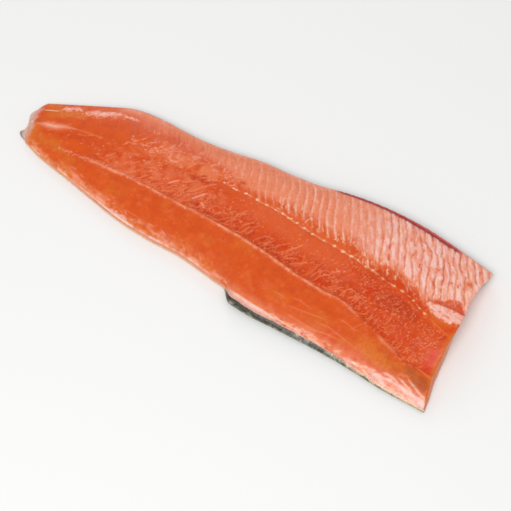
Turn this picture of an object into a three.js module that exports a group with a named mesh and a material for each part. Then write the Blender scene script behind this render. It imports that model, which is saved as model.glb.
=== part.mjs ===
// A raw salmon fillet: one whole side of the fish, flesh side up and skin side down.
// Units are millimetres. X runs from tail to head-end cut, Y from the belly edge to the back, Z is up.
// Two pieces: the flesh, with the relief of its cut face, and the skin that wraps round its underside.
import * as THREE from "three";

// Driving dimensions of the whole side
const loinHeight = 26; // thickest part, under the pin bones
const skinThickness = 1;
const skinGap = 0.3; // clearance between the flesh and the skin
const musclePitch = 7.8; // length of one muscle block along the fish
const muscleLean = 0.625; // the seams between blocks run back towards the tail by this per mm of width
const muscleRelief = 0.55; // how far a block stands above its seams
const pinBoneHeight = 0.9;
const pinBoneStart = -36;
const pinBoneEnd = 182;
const pinGrooveDepth = 0.7;
const pinGrooveHalf = 2;
const ribStep = 1.6; // drop from the edge of the belly membrane to the cut meat beside it
const ribRidge = 0.8; // raised lip along that edge
const ribRidgeHalf = 1.4;
const cragHeight = 0.7; // torn meat where the ribs were cut away
const cleftDepth = 2.2; // slit beside the back edge, where the back fin was
const cleftHalf = 1.2;
const cleftStart = 50;
const cleftEnd = 176;
const notchX = 19; // the trimmed belly edge ends here, and the untrimmed flap stands out
const notchLength = 14;
const trimmedRim = 2.2; // height of the skin's rim under the trimmed edge
const trimmedBulge = 1;
const edgeTop = 0.6; // the flesh stands this far above the rim of the skin
const backSwell = 0.12; // bulge of the skin at the back, as a share of its rim's height
const backRimAngle = Math.PI / 9;
const bellyRimAngle = Math.PI / 4;

// Mesh steps
const crossColumns = { flap: 8, band: 7, loin: 9 };
const hullRows = 46;
const backArcSteps = 4;
const flatSteps = 8;
const bellyArcSteps = 5;

const mix = THREE.MathUtils.lerp;
const clamp = THREE.MathUtils.clamp;
const smooth = (value, from, to) => THREE.MathUtils.smoothstep(value, from, to);
const bell = (distance, halfWidth) => Math.exp(-((distance / halfWidth) ** 2));
// 1 inside a range and 0 outside it, with soft ends
const within = (value, from, to, soft) =>
  smooth(value, from, from + soft) * (1 - smooth(value, to - soft, to));

// A smooth line through [position, value] pairs
function through(pairs) {
  const slopes = pairs.map((pair, i) => {
    const before = pairs[Math.max(i - 1, 0)];
    const after = pairs[Math.min(i + 1, pairs.length - 1)];
    return (after[1] - before[1]) / (after[0] - before[0]);
  });
  return (position) => {
    const last = pairs.length - 2;
    const next = pairs.findIndex((pair) => position < pair[0]) - 1;
    const i = clamp(next < -1 ? last : next, 0, last);
    const [x0, v0] = pairs[i];
    const [x1, v1] = pairs[i + 1];
    const span = x1 - x0;
    const t = clamp((position - x0) / span, 0, 1);
    return (
      v0 * (1 + 2 * t) * (1 - t) ** 2 +
      v1 * t * t * (3 - 2 * t) +
      slopes[i] * span * t * (1 - t) ** 2 +
      slopes[i + 1] * span * t * t * (t - 1)
    );
  };
}

// Lines on the fillet, seen from above: [x, y]
const backEdge = through([
  [-206, 12],
  [-184, 23],
  [-158, 36],
  [-138, 45],
  [-116, 48],
  [-73, 47.9],
  [-48, 50.3],
  [-13, 56.2],
  [12, 57.7],
  [38, 60.5],
  [62, 66.2],
  [90, 70.6],
  [120, 72.2],
  [152, 70.8],
  [206, 63.2],
]);
const trimmedBellyEdge = through([
  [-202, -30],
  [-183, -36],
  [-148, -42.2],
  [-128, -46.2],
  [-88, -53.2],
  [-58, -55.2],
  [-25, -55],
  [14, -59.7],
  [40, -61],
]);
const flapEdge = through([
  [26, -67.5],
  [50, -69.6],
  [80, -68.6],
  [120, -67.6],
  [150, -68.9],
  [176, -70.9],
  [216, -71],
]);
const pinBoneLine = through([
  [-208, -14],
  [-160, -3.5],
  [-114, 5],
  [-78, 10.5],
  [-25, 14.6],
  [25, 14.3],
  [60, 11],
  [100, 8.6],
  [132, 4.6],
  [160, 1.4],
  [176, -5.4],
  [208, -13],
]);
const ribLine = through([
  [-206, -27],
  [-163, -23.5],
  [-136, -20],
  [-105, -18.4],
  [-45, -19],
  [-6, -19],
  [40, -22.3],
  [70, -26.5],
  [100, -28],
  [114, -27.5],
  [137, -33.8],
  [155, -38],
  [169, -44],
  [184, -48],
  [210, -46],
]);
// Cuts across the fillet, seen from above: [y, x]
const headCut = through([
  [-72, 214.4],
  [-60, 211.8],
  [-45, 207.6],
  [-24, 206],
  [-2, 206],
  [12, 205],
  [24, 203],
  [40, 202.8],
  [62, 204],
]);
const tailCut = through([
  [-34, -199],
  [-26, -204.5],
  [-14, -207.5],
  [-3, -210.5],
  [4, -210],
  [12, -207],
]);
// How far the head-end cut leans out at the skin, or in where it is negative: [y, length]
const headLean = through([
  [-72, 1.2],
  [-45, 2.5],
  [-24, 1],
  [-8, -1.5],
  [10, -6],
  [40, -6],
  [62, -1.5],
]);
// How far the skin stays on beyond the flesh at the tail: [y, length]
const tailSkin = through([
  [-30, 0.4],
  [-24, 7.5],
  [-19, 4.5],
  [-12, 4],
  [-4, 5.2],
  [3, 3.4],
  [10, 0.3],
]);
// How far the slit beside the back edge lies from it: [x, length]
const cleftInset = through([
  [40, 2.2],
  [90, 2.4],
  [115, 3.2],
  [140, 4.2],
  [170, 3.6],
]);

// Heights above the board: [x, z]
const pinHeight = through([
  [-206, 7],
  [-160, 12],
  [-100, 17.5],
  [-20, 22.5],
  [60, 25],
  [130, loinHeight],
  [205, 23.5],
]);
const ribHeight = through([
  [-206, 6.4],
  [-160, 10],
  [-100, 14],
  [-20, 17],
  [60, 18.5],
  [130, 17.5],
  [210, 13],
]);
const trimmedEdgeHeight = through([
  [-206, 4.5],
  [-120, 6.5],
  [0, 8],
  [60, 8],
]);
const backRim = through([
  [-206, 4],
  [-120, 7.5],
  [0, 10],
  [110, 11],
  [202, 9],
]);
const flapRim = through([
  [20, 9.5],
  [90, 8],
  [150, 6],
  [214, 4],
]);
// How far the skin swells out beyond its rim under the flap: [x, length]
const flapBulge = through([
  [26, 4.5],
  [50, 4],
  [120, 3.4],
  [150, 2.6],
  [216, 1.4],
]);

const pastNotch = (x) => smooth(x, notchX, notchX + notchLength);
const bellyEdge = (x) => mix(trimmedBellyEdge(x), flapEdge(x), pastNotch(x));
const bellyRim = (x) => mix(trimmedRim, flapRim(x), pastNotch(x));
const bellyBulge = (x) => mix(trimmedBulge, flapBulge(x), pastNotch(x));
const bellyEdgeHeight = (x) =>
  mix(trimmedEdgeHeight(x), bellyRim(x) + skinThickness + skinGap + edgeTop, pastNotch(x));
const backEdgeHeight = (x) => backRim(x) + skinThickness + skinGap + edgeTop;

// The broad form of the cut face: the belly rises to the rib line, dips, rises to the pin bones
// and rounds off to the back
function broadHeight(x, y) {
  const belly = bellyEdge(x);
  const rib = ribLine(x);
  const pin = pinBoneLine(x);
  const back = backEdge(x);
  if (y <= rib) {
    const t = clamp((y - belly) / (rib - belly), 0, 1);
    return mix(bellyEdgeHeight(x), ribHeight(x), 1 - (1 - t) ** 2.2);
  }
  if (y <= pin) {
    const drop = ribStep * Math.min(1, ribHeight(x) / 14);
    return mix(ribHeight(x) - drop, pinHeight(x), smooth(y, rib, pin));
  }
  const t = clamp((y - pin) / (back - pin), 0, 1);
  return mix(pinHeight(x), backEdgeHeight(x), t ** 2.4);
}

// How far along the run of muscle blocks a point is: a whole number on each seam
const muscleCount = (x, y) =>
  (x + muscleLean * Math.max(y - pinBoneLine(x), 0)) / musclePitch;

// Rounded blocks between seams, strongest on the back half towards the head
function muscleBlocks(x, y) {
  const pin = pinBoneLine(x);
  const strength = mix(0.25, 1, smooth(x, -80, 60)) * smooth(y, pin + 3, pin + 14);
  const seam = Math.abs(Math.cos(Math.PI * muscleCount(x, y)));
  return -muscleRelief * strength * seam ** 6;
}

// A repeatable spread of small heights from -1 to 1, one for each whole pair of numbers
function scatter(i, j) {
  const wave = Math.sin(i * 127.1 + j * 311.7) * 43758.5453;
  return 2 * (wave - Math.floor(wave)) - 1;
}

// Torn meat between the rib line and the pin bones
function crags(x, y) {
  const inBand = within(y, ribLine(x) + 2, pinBoneLine(x) - 3, 6);
  const alongFish = smooth(x, -150, -60);
  const cell = musclePitch / 2;
  return cragHeight * inBand * alongFish * scatter(Math.round(x / cell), Math.round(y / cell));
}

function pinBones(x, y) {
  const fromLine = y - pinBoneLine(x);
  const inRange = within(x, pinBoneStart, pinBoneEnd, musclePitch);
  const block = muscleCount(x, y) - 0.5;
  const fromBone = (block - Math.round(block)) * musclePitch;
  const bone = pinBoneHeight * bell(fromBone, 1.2) * bell(fromLine, 1.2);
  return inRange * bone - pinGrooveDepth * bell(fromLine, pinGrooveHalf / 1.5);
}

function ribLip(x, y) {
  return ribRidge * bell(y - ribLine(x), ribRidgeHalf / 1.5) * within(x, -170, 190, 40);
}

function backCleft(x, y) {
  const fromCleft = y - (backEdge(x) - cleftInset(x));
  return -cleftDepth * bell(fromCleft, cleftHalf / 1.8) * within(x, cleftStart, cleftEnd, 16);
}

function faceHeight(x, y) {
  return (
    broadHeight(x, y) +
    muscleBlocks(x, y) +
    crags(x, y) +
    pinBones(x, y) +
    ribLip(x, y) +
    backCleft(x, y)
  );
}

// Evenly spaced values with both ends
const evenly = (from, to, steps) =>
  Array.from({ length: steps + 1 }, (_, i) => mix(from, to, i / steps));

// Where the columns of the cut face's mesh cross a station: they follow the lines drawn above
function faceColumns(x) {
  const belly = bellyEdge(x);
  const rib = ribLine(x);
  const pin = pinBoneLine(x);
  const back = backEdge(x);
  return [
    belly,
    ...evenly(belly + 2, rib - ribRidgeHalf, crossColumns.flap),
    rib,
    ...evenly(rib + ribRidgeHalf, pin - pinGrooveHalf, crossColumns.band),
    pin,
    ...evenly(pin + pinGrooveHalf, back - cleftInset(x) - cleftHalf, crossColumns.loin),
    back - cleftInset(x),
    back - cleftInset(x) + cleftHalf,
    back,
  ];
}

// A mesh under construction: points, and triangles by point number
class Shell {
  points = [];
  triangles = [];

  add(x, y, z) {
    return this.points.push([x, y, z]) - 1;
  }

  // A grid of point numbers, given by rows. Points that fall together share a number, and leave no face.
  sheet(rows, upward) {
    for (let r = 0; r + 1 < rows.length; r++) {
      for (let c = 0; c + 1 < rows[r].length; c++) {
        const a = rows[r][c];
        const b = rows[r + 1][c];
        const d = rows[r + 1][c + 1];
        const e = rows[r][c + 1];
        this.face(a, b, d, upward);
        this.face(a, d, e, upward);
      }
    }
  }

  face(a, b, c, upward) {
    if (a === b || b === c || c === a) return;
    this.triangles.push(upward ? [a, b, c] : [a, c, b]);
  }

  // A wall between an upper and a lower line of points, which may differ in number. Both run with the
  // solid on their left.
  wall(upper, lower) {
    const length = (line) => {
      const sums = [0];
      for (let i = 1; i < line.length; i++) {
        const [p, q] = [this.points[line[i - 1]], this.points[line[i]]];
        sums.push(sums[i - 1] + Math.hypot(q[0] - p[0], q[1] - p[1], q[2] - p[2]));
      }
      return sums.map((sum) => sum / sums.at(-1));
    };
    const [above, below] = [length(upper), length(lower)];
    let [i, j] = [0, 0];
    while (i + 1 < upper.length || j + 1 < lower.length) {
      const stepAbove = j + 1 >= lower.length || (i + 1 < upper.length && above[i + 1] <= below[j + 1]);
      if (stepAbove) {
        this.face(upper[i], lower[j], upper[i + 1], true);
        i++;
      } else {
        this.face(upper[i], lower[j], lower[j + 1], true);
        j++;
      }
    }
  }

  geometry() {
    return new THREE.BufferGeometry()
      .setAttribute("position", new THREE.Float32BufferAttribute(this.points.flat(), 3))
      .setIndex(this.triangles.flat());
  }
}

// Line of numbers without immediate repeats
const distinct = (line) => line.filter((number, i) => i === 0 || number !== line[i - 1]);

// The cut face as a grid. Its rows run along the seams between the muscle blocks, and stop at the two cuts.
function faceGrid(shell) {
  const firstBlock = -28;
  const lastBlock = 32;
  const snap = 1.4; // a row that comes this close to a cut ends on it
  const atTail = [];
  const atHead = [];
  const rows = [];
  for (let half = 2 * firstBlock; half <= 2 * lastBlock; half++) {
    const station = (half * musclePitch) / 2;
    const columnCount = faceColumns(0).length;
    const row = [];
    for (let c = 0; c < columnCount; c++) {
      let x = station;
      let y = 0;
      for (let pass = 0; pass < 6; pass++) {
        y = faceColumns(x)[c];
        const lean = muscleLean * Math.max(y - pinBoneLine(x), 0);
        x = clamp(station - lean, tailCut(y) - 1, headCut(y) + 1);
      }
      if (x < tailCut(y) + snap) {
        atTail[c] ??= cornerPoint(shell, tailCut, c);
        row.push(atTail[c]);
      } else if (x > headCut(y) - snap) {
        atHead[c] ??= cornerPoint(shell, headCut, c);
        row.push(atHead[c]);
      } else {
        row.push(shell.add(x, y, faceHeight(x, y)));
      }
    }
    rows.push(row);
  }
  return rows;
}

// The point where a column of the cut face meets one of the two cuts
function cornerPoint(shell, cut, column) {
  let x = cut(0);
  let y = 0;
  for (let pass = 0; pass < 12; pass++) {
    y = faceColumns(x)[column];
    x = cut(y);
  }
  return shell.add(x, y, faceHeight(x, y));
}

// The outside of the skin across one station, from the rim at the back, under the fillet, to the rim at
// the belly. Each entry is {y, z, outY, outZ}, the last two a unit direction away from the flesh.
function hullLine(x) {
  const backArc = arc(backEdge(x), backRim(x), backSwell * backRim(x), backRimAngle, 1, backArcSteps);
  const bellyArc = arc(bellyEdge(x), bellyRim(x), bellyBulge(x), bellyRimAngle, -1, bellyArcSteps);
  const flat = evenly(backArc.at(-1).y, bellyArc.at(-1).y, flatSteps)
    .slice(1, -1)
    .map((y) => ({ y, z: 0, outY: 0, outZ: -1 }));
  return [...backArc, ...flat, ...bellyArc.reverse()];
}

// An arc of an ellipse from a rim, out by the bulge and down to the board. It starts at an angle above the
// ellipse's middle. side is 1 at the back and -1 at the belly.
function arc(rimY, rimZ, bulge, startAngle, side, steps) {
  const high = rimZ / (1 + Math.sin(startAngle));
  const wide = bulge / (1 - Math.cos(startAngle));
  const centreY = rimY - side * wide * Math.cos(startAngle);
  return evenly(startAngle, -Math.PI / 2, steps).map((angle) => {
    const outY = (side * Math.cos(angle)) / wide;
    const outZ = Math.sin(angle) / high;
    const size = Math.hypot(outY, outZ);
    return {
      y: centreY + side * wide * Math.cos(angle),
      z: high * (1 + Math.sin(angle)),
      outY: outY / size,
      outZ: outZ / size,
    };
  });
}

// The skin's outside, moved in by a depth, as a grid of points
function hullGrid(shell, depth, tailEnd) {
  return evenly(0, 1, hullRows).map((share) => {
    const columns = hullLine(0).length;
    return Array.from({ length: columns }, (_, c) => {
      let x = mix(tailCut(0), headCut(0), share);
      let point = hullLine(x)[c];
      for (let pass = 0; pass < 8; pass++) {
        const lean = headLean(point.y) * (1 - point.z / pinHeight(x));
        x = mix(tailEnd(point.y), headCut(point.y) + lean, share);
        point = hullLine(x)[c];
      }
      return shell.add(x, point.y - depth * point.outY, point.z - depth * point.outZ);
    });
  });
}

const firstOf = (rows) => rows.map((row) => row[0]);
const lastOf = (rows) => rows.map((row) => row.at(-1));

function makeFlesh() {
  const shell = new Shell();
  const face = faceGrid(shell);
  const under = hullGrid(shell, skinThickness + skinGap, tailCut);
  shell.sheet(face, true);
  shell.sheet(under, true);
  // the under side runs from the back to the belly, the cut face from the belly to the back
  shell.wall(distinct(firstOf(face)), lastOf(under));
  shell.wall(distinct(lastOf(face)).reverse(), firstOf(under).reverse());
  shell.wall(distinct(face.at(-1)), [...under.at(-1)].reverse());
  shell.wall(distinct([...face[0]].reverse()), under[0]);
  return shell.geometry();
}

const skinTail = (y) => tailCut(y) - tailSkin(y);

function makeSkin() {
  const shell = new Shell();
  const outside = hullGrid(shell, 0, skinTail);
  const inside = hullGrid(shell, skinThickness, skinTail);
  shell.sheet(outside, true);
  shell.sheet(inside, false);
  shell.wall(lastOf(inside), lastOf(outside));
  shell.wall(firstOf(inside).reverse(), firstOf(outside).reverse());
  shell.wall([...inside.at(-1)].reverse(), [...outside.at(-1)].reverse());
  shell.wall(inside[0], outside[0]);
  return shell.geometry();
}

const fleshMaterial = new THREE.MeshStandardMaterial({ color: 0xdb622f, roughness: 0.35, metalness: 0 });
const skinMaterial = new THREE.MeshStandardMaterial({ color: 0x82857c, roughness: 0.3, metalness: 0.2 });

function pieceOf(name, geometry, material) {
  geometry.computeVertexNormals();
  const mesh = new THREE.Mesh(geometry, material);
  mesh.name = name;
  return mesh;
}

const fillet = new THREE.Group();
fillet.add(pieceOf("flesh", makeFlesh(), fleshMaterial));
fillet.add(pieceOf("skin", makeSkin(), skinMaterial));

export default fillet;
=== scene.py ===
# A raw salmon fillet, one whole side with its skin on, lying flesh side up in soft studio light.
# Lengths in the dictionaries are millimetres, x from tail to head end, y from belly to back, z up.
import math

import bpy
import numpy as np
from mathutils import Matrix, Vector


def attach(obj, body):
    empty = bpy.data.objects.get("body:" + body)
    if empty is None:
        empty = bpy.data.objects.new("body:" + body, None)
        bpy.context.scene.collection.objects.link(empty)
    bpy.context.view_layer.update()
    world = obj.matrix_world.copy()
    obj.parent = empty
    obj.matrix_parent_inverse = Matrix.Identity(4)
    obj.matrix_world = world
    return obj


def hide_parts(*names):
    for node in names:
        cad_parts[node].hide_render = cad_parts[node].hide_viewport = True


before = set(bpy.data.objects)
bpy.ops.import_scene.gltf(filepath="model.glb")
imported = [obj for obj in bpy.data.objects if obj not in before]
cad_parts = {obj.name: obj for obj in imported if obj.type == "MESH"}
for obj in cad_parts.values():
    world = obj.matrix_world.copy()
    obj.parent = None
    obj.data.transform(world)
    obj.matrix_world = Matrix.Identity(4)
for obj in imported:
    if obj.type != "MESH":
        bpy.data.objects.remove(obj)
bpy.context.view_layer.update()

millimetre = 0.001
pi = math.pi


def linear(hexColour):
    channels = [int(hexColour[i:i + 2], 16) / 255 for i in (1, 3, 5)]
    return [c / 12.92 if c <= 0.04045 else ((c + 0.055) / 1.055) ** 2.4 for c in channels] + [1.0]


def addNode(tree, kind, settings, inputs):
    node = tree.nodes.new("ShaderNode" + kind)
    for name, value in settings.items():
        setattr(node, name, value)
    for socket, value in inputs.items():
        if isinstance(value, bpy.types.NodeSocket):
            tree.links.new(value, node.inputs[socket])
        else:
            node.inputs[socket].default_value = value
    return node


def newMaterial(name):
    material = bpy.data.materials.new(name)
    material.use_nodes = True
    material.node_tree.nodes.clear()
    return material, material.node_tree


def mix(a, b, share):
    return a + (b - a) * share


def ease(value, low, high):
    t = np.clip((value - low) / (high - low), 0, 1)
    return t * t * (3 - 2 * t)


def bell(distance, halfWidth):
    return np.exp(-((distance / halfWidth) ** 2))


def within(value, low, high, soft):
    return ease(value, low, low + soft) * (1 - ease(value, high - soft, high))


# A smooth line through (position, value) pairs, level beyond its ends
def through(*pairs):
    places, values = np.array(pairs, float).T
    steps = np.diff(values) / np.diff(places)
    middle = (values[2:] - values[:-2]) / (places[2:] - places[:-2])
    slopes = np.concatenate([steps[:1], middle, steps[-1:]])

    def line(position):
        at = np.clip(position, places[0], places[-1])
        i = np.clip(np.searchsorted(places, at, side="right") - 1, 0, len(places) - 2)
        span = places[i + 1] - places[i]
        t = (at - places[i]) / span
        return (values[i] * (1 + 2 * t) * (1 - t) ** 2 + values[i + 1] * t * t * (3 - 2 * t)
                + slopes[i] * span * t * (1 - t) ** 2 + slopes[i + 1] * span * t * t * (t - 1))

    return line


def shifted(line, off):
    return lambda x: line(x) + off


def at(line, x):
    return float(line(x)) if callable(line) else line


# Smooth random heights from -1 to 1, with bumps about one cell across
def cloud(x, y, cell, seed):
    table = np.random.default_rng(seed).uniform(-1, 1, (97, 89))
    rows, columns = table.shape
    i, j = np.floor(x / cell).astype(int), np.floor(y / cell).astype(int)
    u, v = x / cell - i, y / cell - j
    u, v = u * u * (3 - 2 * u), v * v * (3 - 2 * v)

    def corner(a, b):
        return table[(i + a) % rows, (j + b) % columns]

    return mix(mix(corner(0, 0), corner(1, 0), u), mix(corner(0, 1), corner(1, 1), u), v)


# The fillet's shape, as its solids have it
fillet = {
    "skinThickness": 1.0,
    "fleshOverSkin": 1.3,  # the flesh's under side lies this deep inside the outside of the skin
    "edgeOverRim": 1.9,  # the cut face's edge stands this far above the skin's rim
    "flapSwell": 2.2,  # how full the flap is, as a power of the way across it
    "loinSwell": 2.4,
    "ribStep": 1.6,
    "musclePitch": 7.8,
    "muscleLean": 0.625,  # the seams run back towards the tail by this much per mm of width
    "notchX": 19,
    "notchLength": 14,
    "trimmedRim": 2.2,
    "trimmedBulge": 1.0,
    "backSwell": 0.12,
    "backRimAngle": pi / 9,
    "bellyRimAngle": pi / 4,
}

# Lines of the cut face as (x, y)
backEdge = through(
    (-206, 12), (-184, 23), (-158, 36), (-138, 45), (-116, 48), (-73, 47.9), (-48, 50.3), (-13, 56.2),
    (12, 57.7), (38, 60.5), (62, 66.2), (90, 70.6), (120, 72.2), (152, 70.8), (206, 63.2))
trimmedBellyEdge = through(
    (-202, -30), (-183, -36), (-148, -42.2), (-128, -46.2), (-88, -53.2), (-58, -55.2), (-25, -55),
    (14, -59.7), (40, -61))
flapEdge = through(
    (26, -67.5), (50, -69.6), (80, -68.6), (120, -67.6), (150, -68.9), (176, -70.9), (216, -71))
pinBoneLine = through(
    (-208, -14), (-160, -3.5), (-114, 5), (-78, 10.5), (-25, 14.6), (25, 14.3), (60, 11), (100, 8.6),
    (132, 4.6), (160, 1.4), (176, -5.4), (208, -13))
ribLine = through(
    (-206, -27), (-163, -23.5), (-136, -20), (-105, -18.4), (-45, -19), (-6, -19), (40, -22.3), (70, -26.5),
    (100, -28), (114, -27.5), (137, -33.8), (155, -38), (169, -44), (184, -48), (210, -46))

# The two cuts across the fish as (y, x), how far the skin goes beyond the tail's, and how far the head
# end's wall leans
headCut = through(
    (-72, 214.4), (-60, 211.8), (-45, 207.6), (-24, 206), (-2, 206), (12, 205), (24, 203), (40, 202.8),
    (62, 204))
tailCut = through((-34, -199), (-26, -204.5), (-14, -207.5), (-3, -210.5), (4, -210), (12, -207))
tailSkin = through((-30, 0.4), (-24, 7.5), (-19, 4.5), (-12, 4), (-4, 5.2), (3, 3.4), (10, 0.3))
headLean = through((-72, 1.2), (-45, 2.5), (-24, 1), (-8, -1.5), (10, -6), (40, -6), (62, -1.5))

# Heights as (x, z), then how far the belly's wall swells out and how far inside the back edge the slit is
pinHeight = through((-206, 7), (-160, 12), (-100, 17.5), (-20, 22.5), (60, 24.8), (130, 25.4), (205, 23.2))
ribHeight = through((-206, 6.4), (-160, 10), (-100, 14), (-20, 17), (60, 18.5), (130, 17.5), (210, 13))
trimmedEdgeHeight = through((-206, 4.5), (-120, 6.5), (0, 8), (60, 8))
backRim = through((-206, 4), (-120, 7.5), (0, 10), (110, 11), (202, 9))
flapRim = through((20, 9.5), (90, 8), (150, 6), (214, 4))
flapBulge = through((26, 4.5), (50, 4), (120, 3.4), (150, 2.6), (216, 1.4))
cleftInset = through((40, 2.2), (90, 2.4), (115, 3.2), (140, 4.2), (170, 3.6))


def pastNotch(x):
    return ease(x, fillet["notchX"], fillet["notchX"] + fillet["notchLength"])


def bellyEdge(x):
    return mix(trimmedBellyEdge(x), flapEdge(x), pastNotch(x))


def bellyRim(x):
    return mix(fillet["trimmedRim"], flapRim(x), pastNotch(x))


def bellyBulge(x):
    return mix(fillet["trimmedBulge"], flapBulge(x), pastNotch(x))


# The broad form of the cut face
def broadHeight(x, y):
    belly, rib, pin, back = bellyEdge(x), ribLine(x), pinBoneLine(x), backEdge(x)
    bellyTop = mix(trimmedEdgeHeight(x), bellyRim(x) + fillet["edgeOverRim"], pastNotch(x))
    backTop = backRim(x) + fillet["edgeOverRim"]
    onFlap = np.clip((y - belly) / (rib - belly), 0, 1)
    onLoin = np.clip((y - pin) / (back - pin), 0, 1)
    flap = mix(bellyTop, ribHeight(x), 1 - (1 - onFlap) ** fillet["flapSwell"])
    step = fillet["ribStep"] * np.minimum(1, ribHeight(x) / 14) * ease(x, -195, -110)
    bandLow = ribHeight(x) - 0.8 * step * ease(y, rib - 1, rib + 3.4)
    band = mix(bandLow, pinHeight(x), ease(y, rib, pin))
    loin = mix(pinHeight(x), backTop, onLoin ** fillet["loinSwell"])
    return np.where(y <= rib, flap, np.where(y <= pin, band, loin))


# The outside of the skin: share 0 to 1 along the fish, around 0 to 1 from the back's rim, under the
# fillet, to the belly's rim. depth moves the point in from there.
def hullPoint(share, around, depth, tailEnd):
    backPart, bellyPart = 0.17, 0.13
    parts = np.clip(around / backPart, 0, 1), np.clip((1 - around) / bellyPart, 0, 1)
    onFlat = np.clip((around - backPart) / (1 - backPart - bellyPart), 0, 1)
    x = mix(-200, 200, share) + 0 * around
    for sweep in range(8):  # x and y depend on each other, so each round brings both closer
        arcs = []
        for rimY, rimZ, bulge, angle, side in (
                (backEdge(x), backRim(x), fillet["backSwell"] * backRim(x), fillet["backRimAngle"], 1),
                (bellyEdge(x), bellyRim(x), bellyBulge(x), fillet["bellyRimAngle"], -1)):
            high = rimZ / (1 + math.sin(angle))
            wide = bulge / (1 - math.cos(angle))
            arcs.append((rimY - side * wide * math.cos(angle), wide, high, angle, side))
        y = mix(arcs[0][0], arcs[1][0], onFlat)
        z, outY, outZ = 0 * x, 0 * x, 0 * x - 1
        for (centreY, wide, high, angle, side), part in zip(arcs, parts):
            turn = mix(angle, -pi / 2, part)
            onArc = part < 1
            length = np.hypot(np.cos(turn) / wide, np.sin(turn) / high)
            y = np.where(onArc, centreY + side * wide * np.cos(turn), y)
            z = np.where(onArc, high * (1 + np.sin(turn)), z)
            outY = np.where(onArc, side * np.cos(turn) / wide / length, outY)
            outZ = np.where(onArc, np.sin(turn) / high / length, outZ)
        lean = headLean(y) * (1 - z / pinHeight(x))
        x = mix(tailEnd(y), headCut(y) + lean, share)
    return np.stack([x, y - depth * outY, z - depth * outZ], -1)


def skinTail(y):
    return tailCut(y) - tailSkin(y)


# The chart is a plan of the cut face that holds, for each kind of tissue, how much of it shows
chartStep = 0.4
chartX = np.arange(-218, 218, chartStep)  # a little beyond the fillet's ends and sides
chartY = np.arange(-78, 78, chartStep)
planX, planY = np.meshgrid(chartX, chartY)
tissues = [
    "bloom", "pale", "seamPale", "seamDeep", "torn", "blood", "crimson", "vein", "fibre", "fat", "cream",
    "gold", "amber", "redMeat", "silver", "membrane", "darkSkin"]
chart = {name: np.zeros_like(planX) for name in tissues}
onBelly, onRib, onPin, onBack = (
    line(chartX)[None, :] for line in (bellyEdge, ribLine, pinBoneLine, backEdge))


# Smooth random tones over the whole chart
def mottled(cell, seed):
    return cloud(planX, planY, cell, seed)


# Keeps the stronger of what a layer has and what is put on it
def lay(name, amount):
    chart[name] = np.clip(np.maximum(chart[name], amount), 0, 1)


def clear(names, amount):
    for name in names:
        chart[name] *= 1 - amount


# A soft line on the chart that thins towards its ends
def stroke(name, points, width, strength=1.0, taper=0.3):
    path = np.array(points, float)
    reach = 2.2 * width
    i0, i1 = np.searchsorted(chartX, [path[:, 0].min() - reach, path[:, 0].max() + reach])
    j0, j1 = np.searchsorted(chartY, [path[:, 1].min() - reach, path[:, 1].max() + reach])
    if i1 <= i0 or j1 <= j0:
        return
    gridX, gridY = chartX[None, i0:i1], chartY[j0:j1, None]
    spans = len(path) - 1
    best = np.zeros((j1 - j0, i1 - i0))
    for k in range(spans):
        (ax, ay), (bx, by) = path[k], path[k + 1]
        dx, dy = bx - ax, by - ay
        along = np.clip(((gridX - ax) * dx + (gridY - ay) * dy) / (dx * dx + dy * dy + 1e-9), 0, 1)
        away = np.hypot(gridX - ax - along * dx, gridY - ay - along * dy)
        place = (k + along) / spans
        full = np.clip(np.minimum(place, 1 - place) / taper + 0.3, 0, 1)
        best = np.maximum(best, strength * full * bell(away, width * full))
    chart[name][j0:j1, i0:i1] = np.maximum(chart[name][j0:j1, i0:i1], best)


# A soft oval with a ragged edge
def blotch(name, x, y, long, wide, degrees, strength, ragged=0.35, soft=0.55):
    turn = math.radians(degrees)
    u = ((planX - x) * math.cos(turn) + (planY - y) * math.sin(turn)) / long
    v = (-(planX - x) * math.sin(turn) + (planY - y) * math.cos(turn)) / wide
    rough = ragged * mottled(max(wide, 1.5) * 0.8, int(abs(31 * x + 17 * y)))
    lay(name, strength * (1 - ease(np.hypot(u, v) + rough, 1.15 - soft, 1.15)))


strandRng = np.random.default_rng(9)


# Points of a short curved strand, from a place and a heading in degrees, that wanders a little
def strand(x, y, heading, length, bend, points=5, stray=16):
    path = [(x, y)]
    for k in range(points - 1):
        turn = math.radians(heading + bend * (k / (points - 2) - 0.5) + stray * strandRng.normal())
        x, y = x + math.cos(turn) * length / (points - 1), y + math.sin(turn) * length / (points - 1)
        path.append((x, y))
    return path


# A torn fibre end: a pale squiggle, partly a painted glint, with a painted shadow along one side
def squiggle(name, path, width, strength):
    shadow = [(x + 0.35, y - 0.75) for x, y in path]
    stroke("blood", shadow, width * 1.1, 0.6 * strength)
    stroke(name, path, width, strength)


# Scatters short strands. heading is (degrees, spread); length, width and strength are (low, high)
def scatter(
        rng, count, names, where, heading, length, width, strength, bend, points=5, stray=16, draw=stroke):
    for k in range(count):
        x, y = where(rng)
        lean = at(heading[0], x) + rng.normal(0, heading[1])
        path = strand(x, y, lean, rng.uniform(*length), rng.uniform(-bend, bend), points, stray)
        draw(names[k % len(names)], path, rng.uniform(*width), rng.uniform(*strength))


# Random places between two lines
def zone(x0, x1, low, high, share=(0, 1), power=1):
    def where(rng):
        x = rng.uniform(x0, x1)
        return x, mix(at(low, x), at(high, x), mix(share[0], share[1], rng.uniform() ** power))

    return where


# Random places along a line, off to one side of it
def beside(x0, x1, line, off, spread):
    def where(rng):
        x = rng.uniform(x0, x1)
        return x, at(line, x) + off + rng.normal(0, spread)

    return where


# Random places round one of several spots
def near(spots, spreadX, spreadY):
    def where(rng):
        x, y = spots[rng.integers(len(spots))]
        return x + rng.normal(0, spreadX), y + rng.normal(0, spreadY)

    return where


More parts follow.
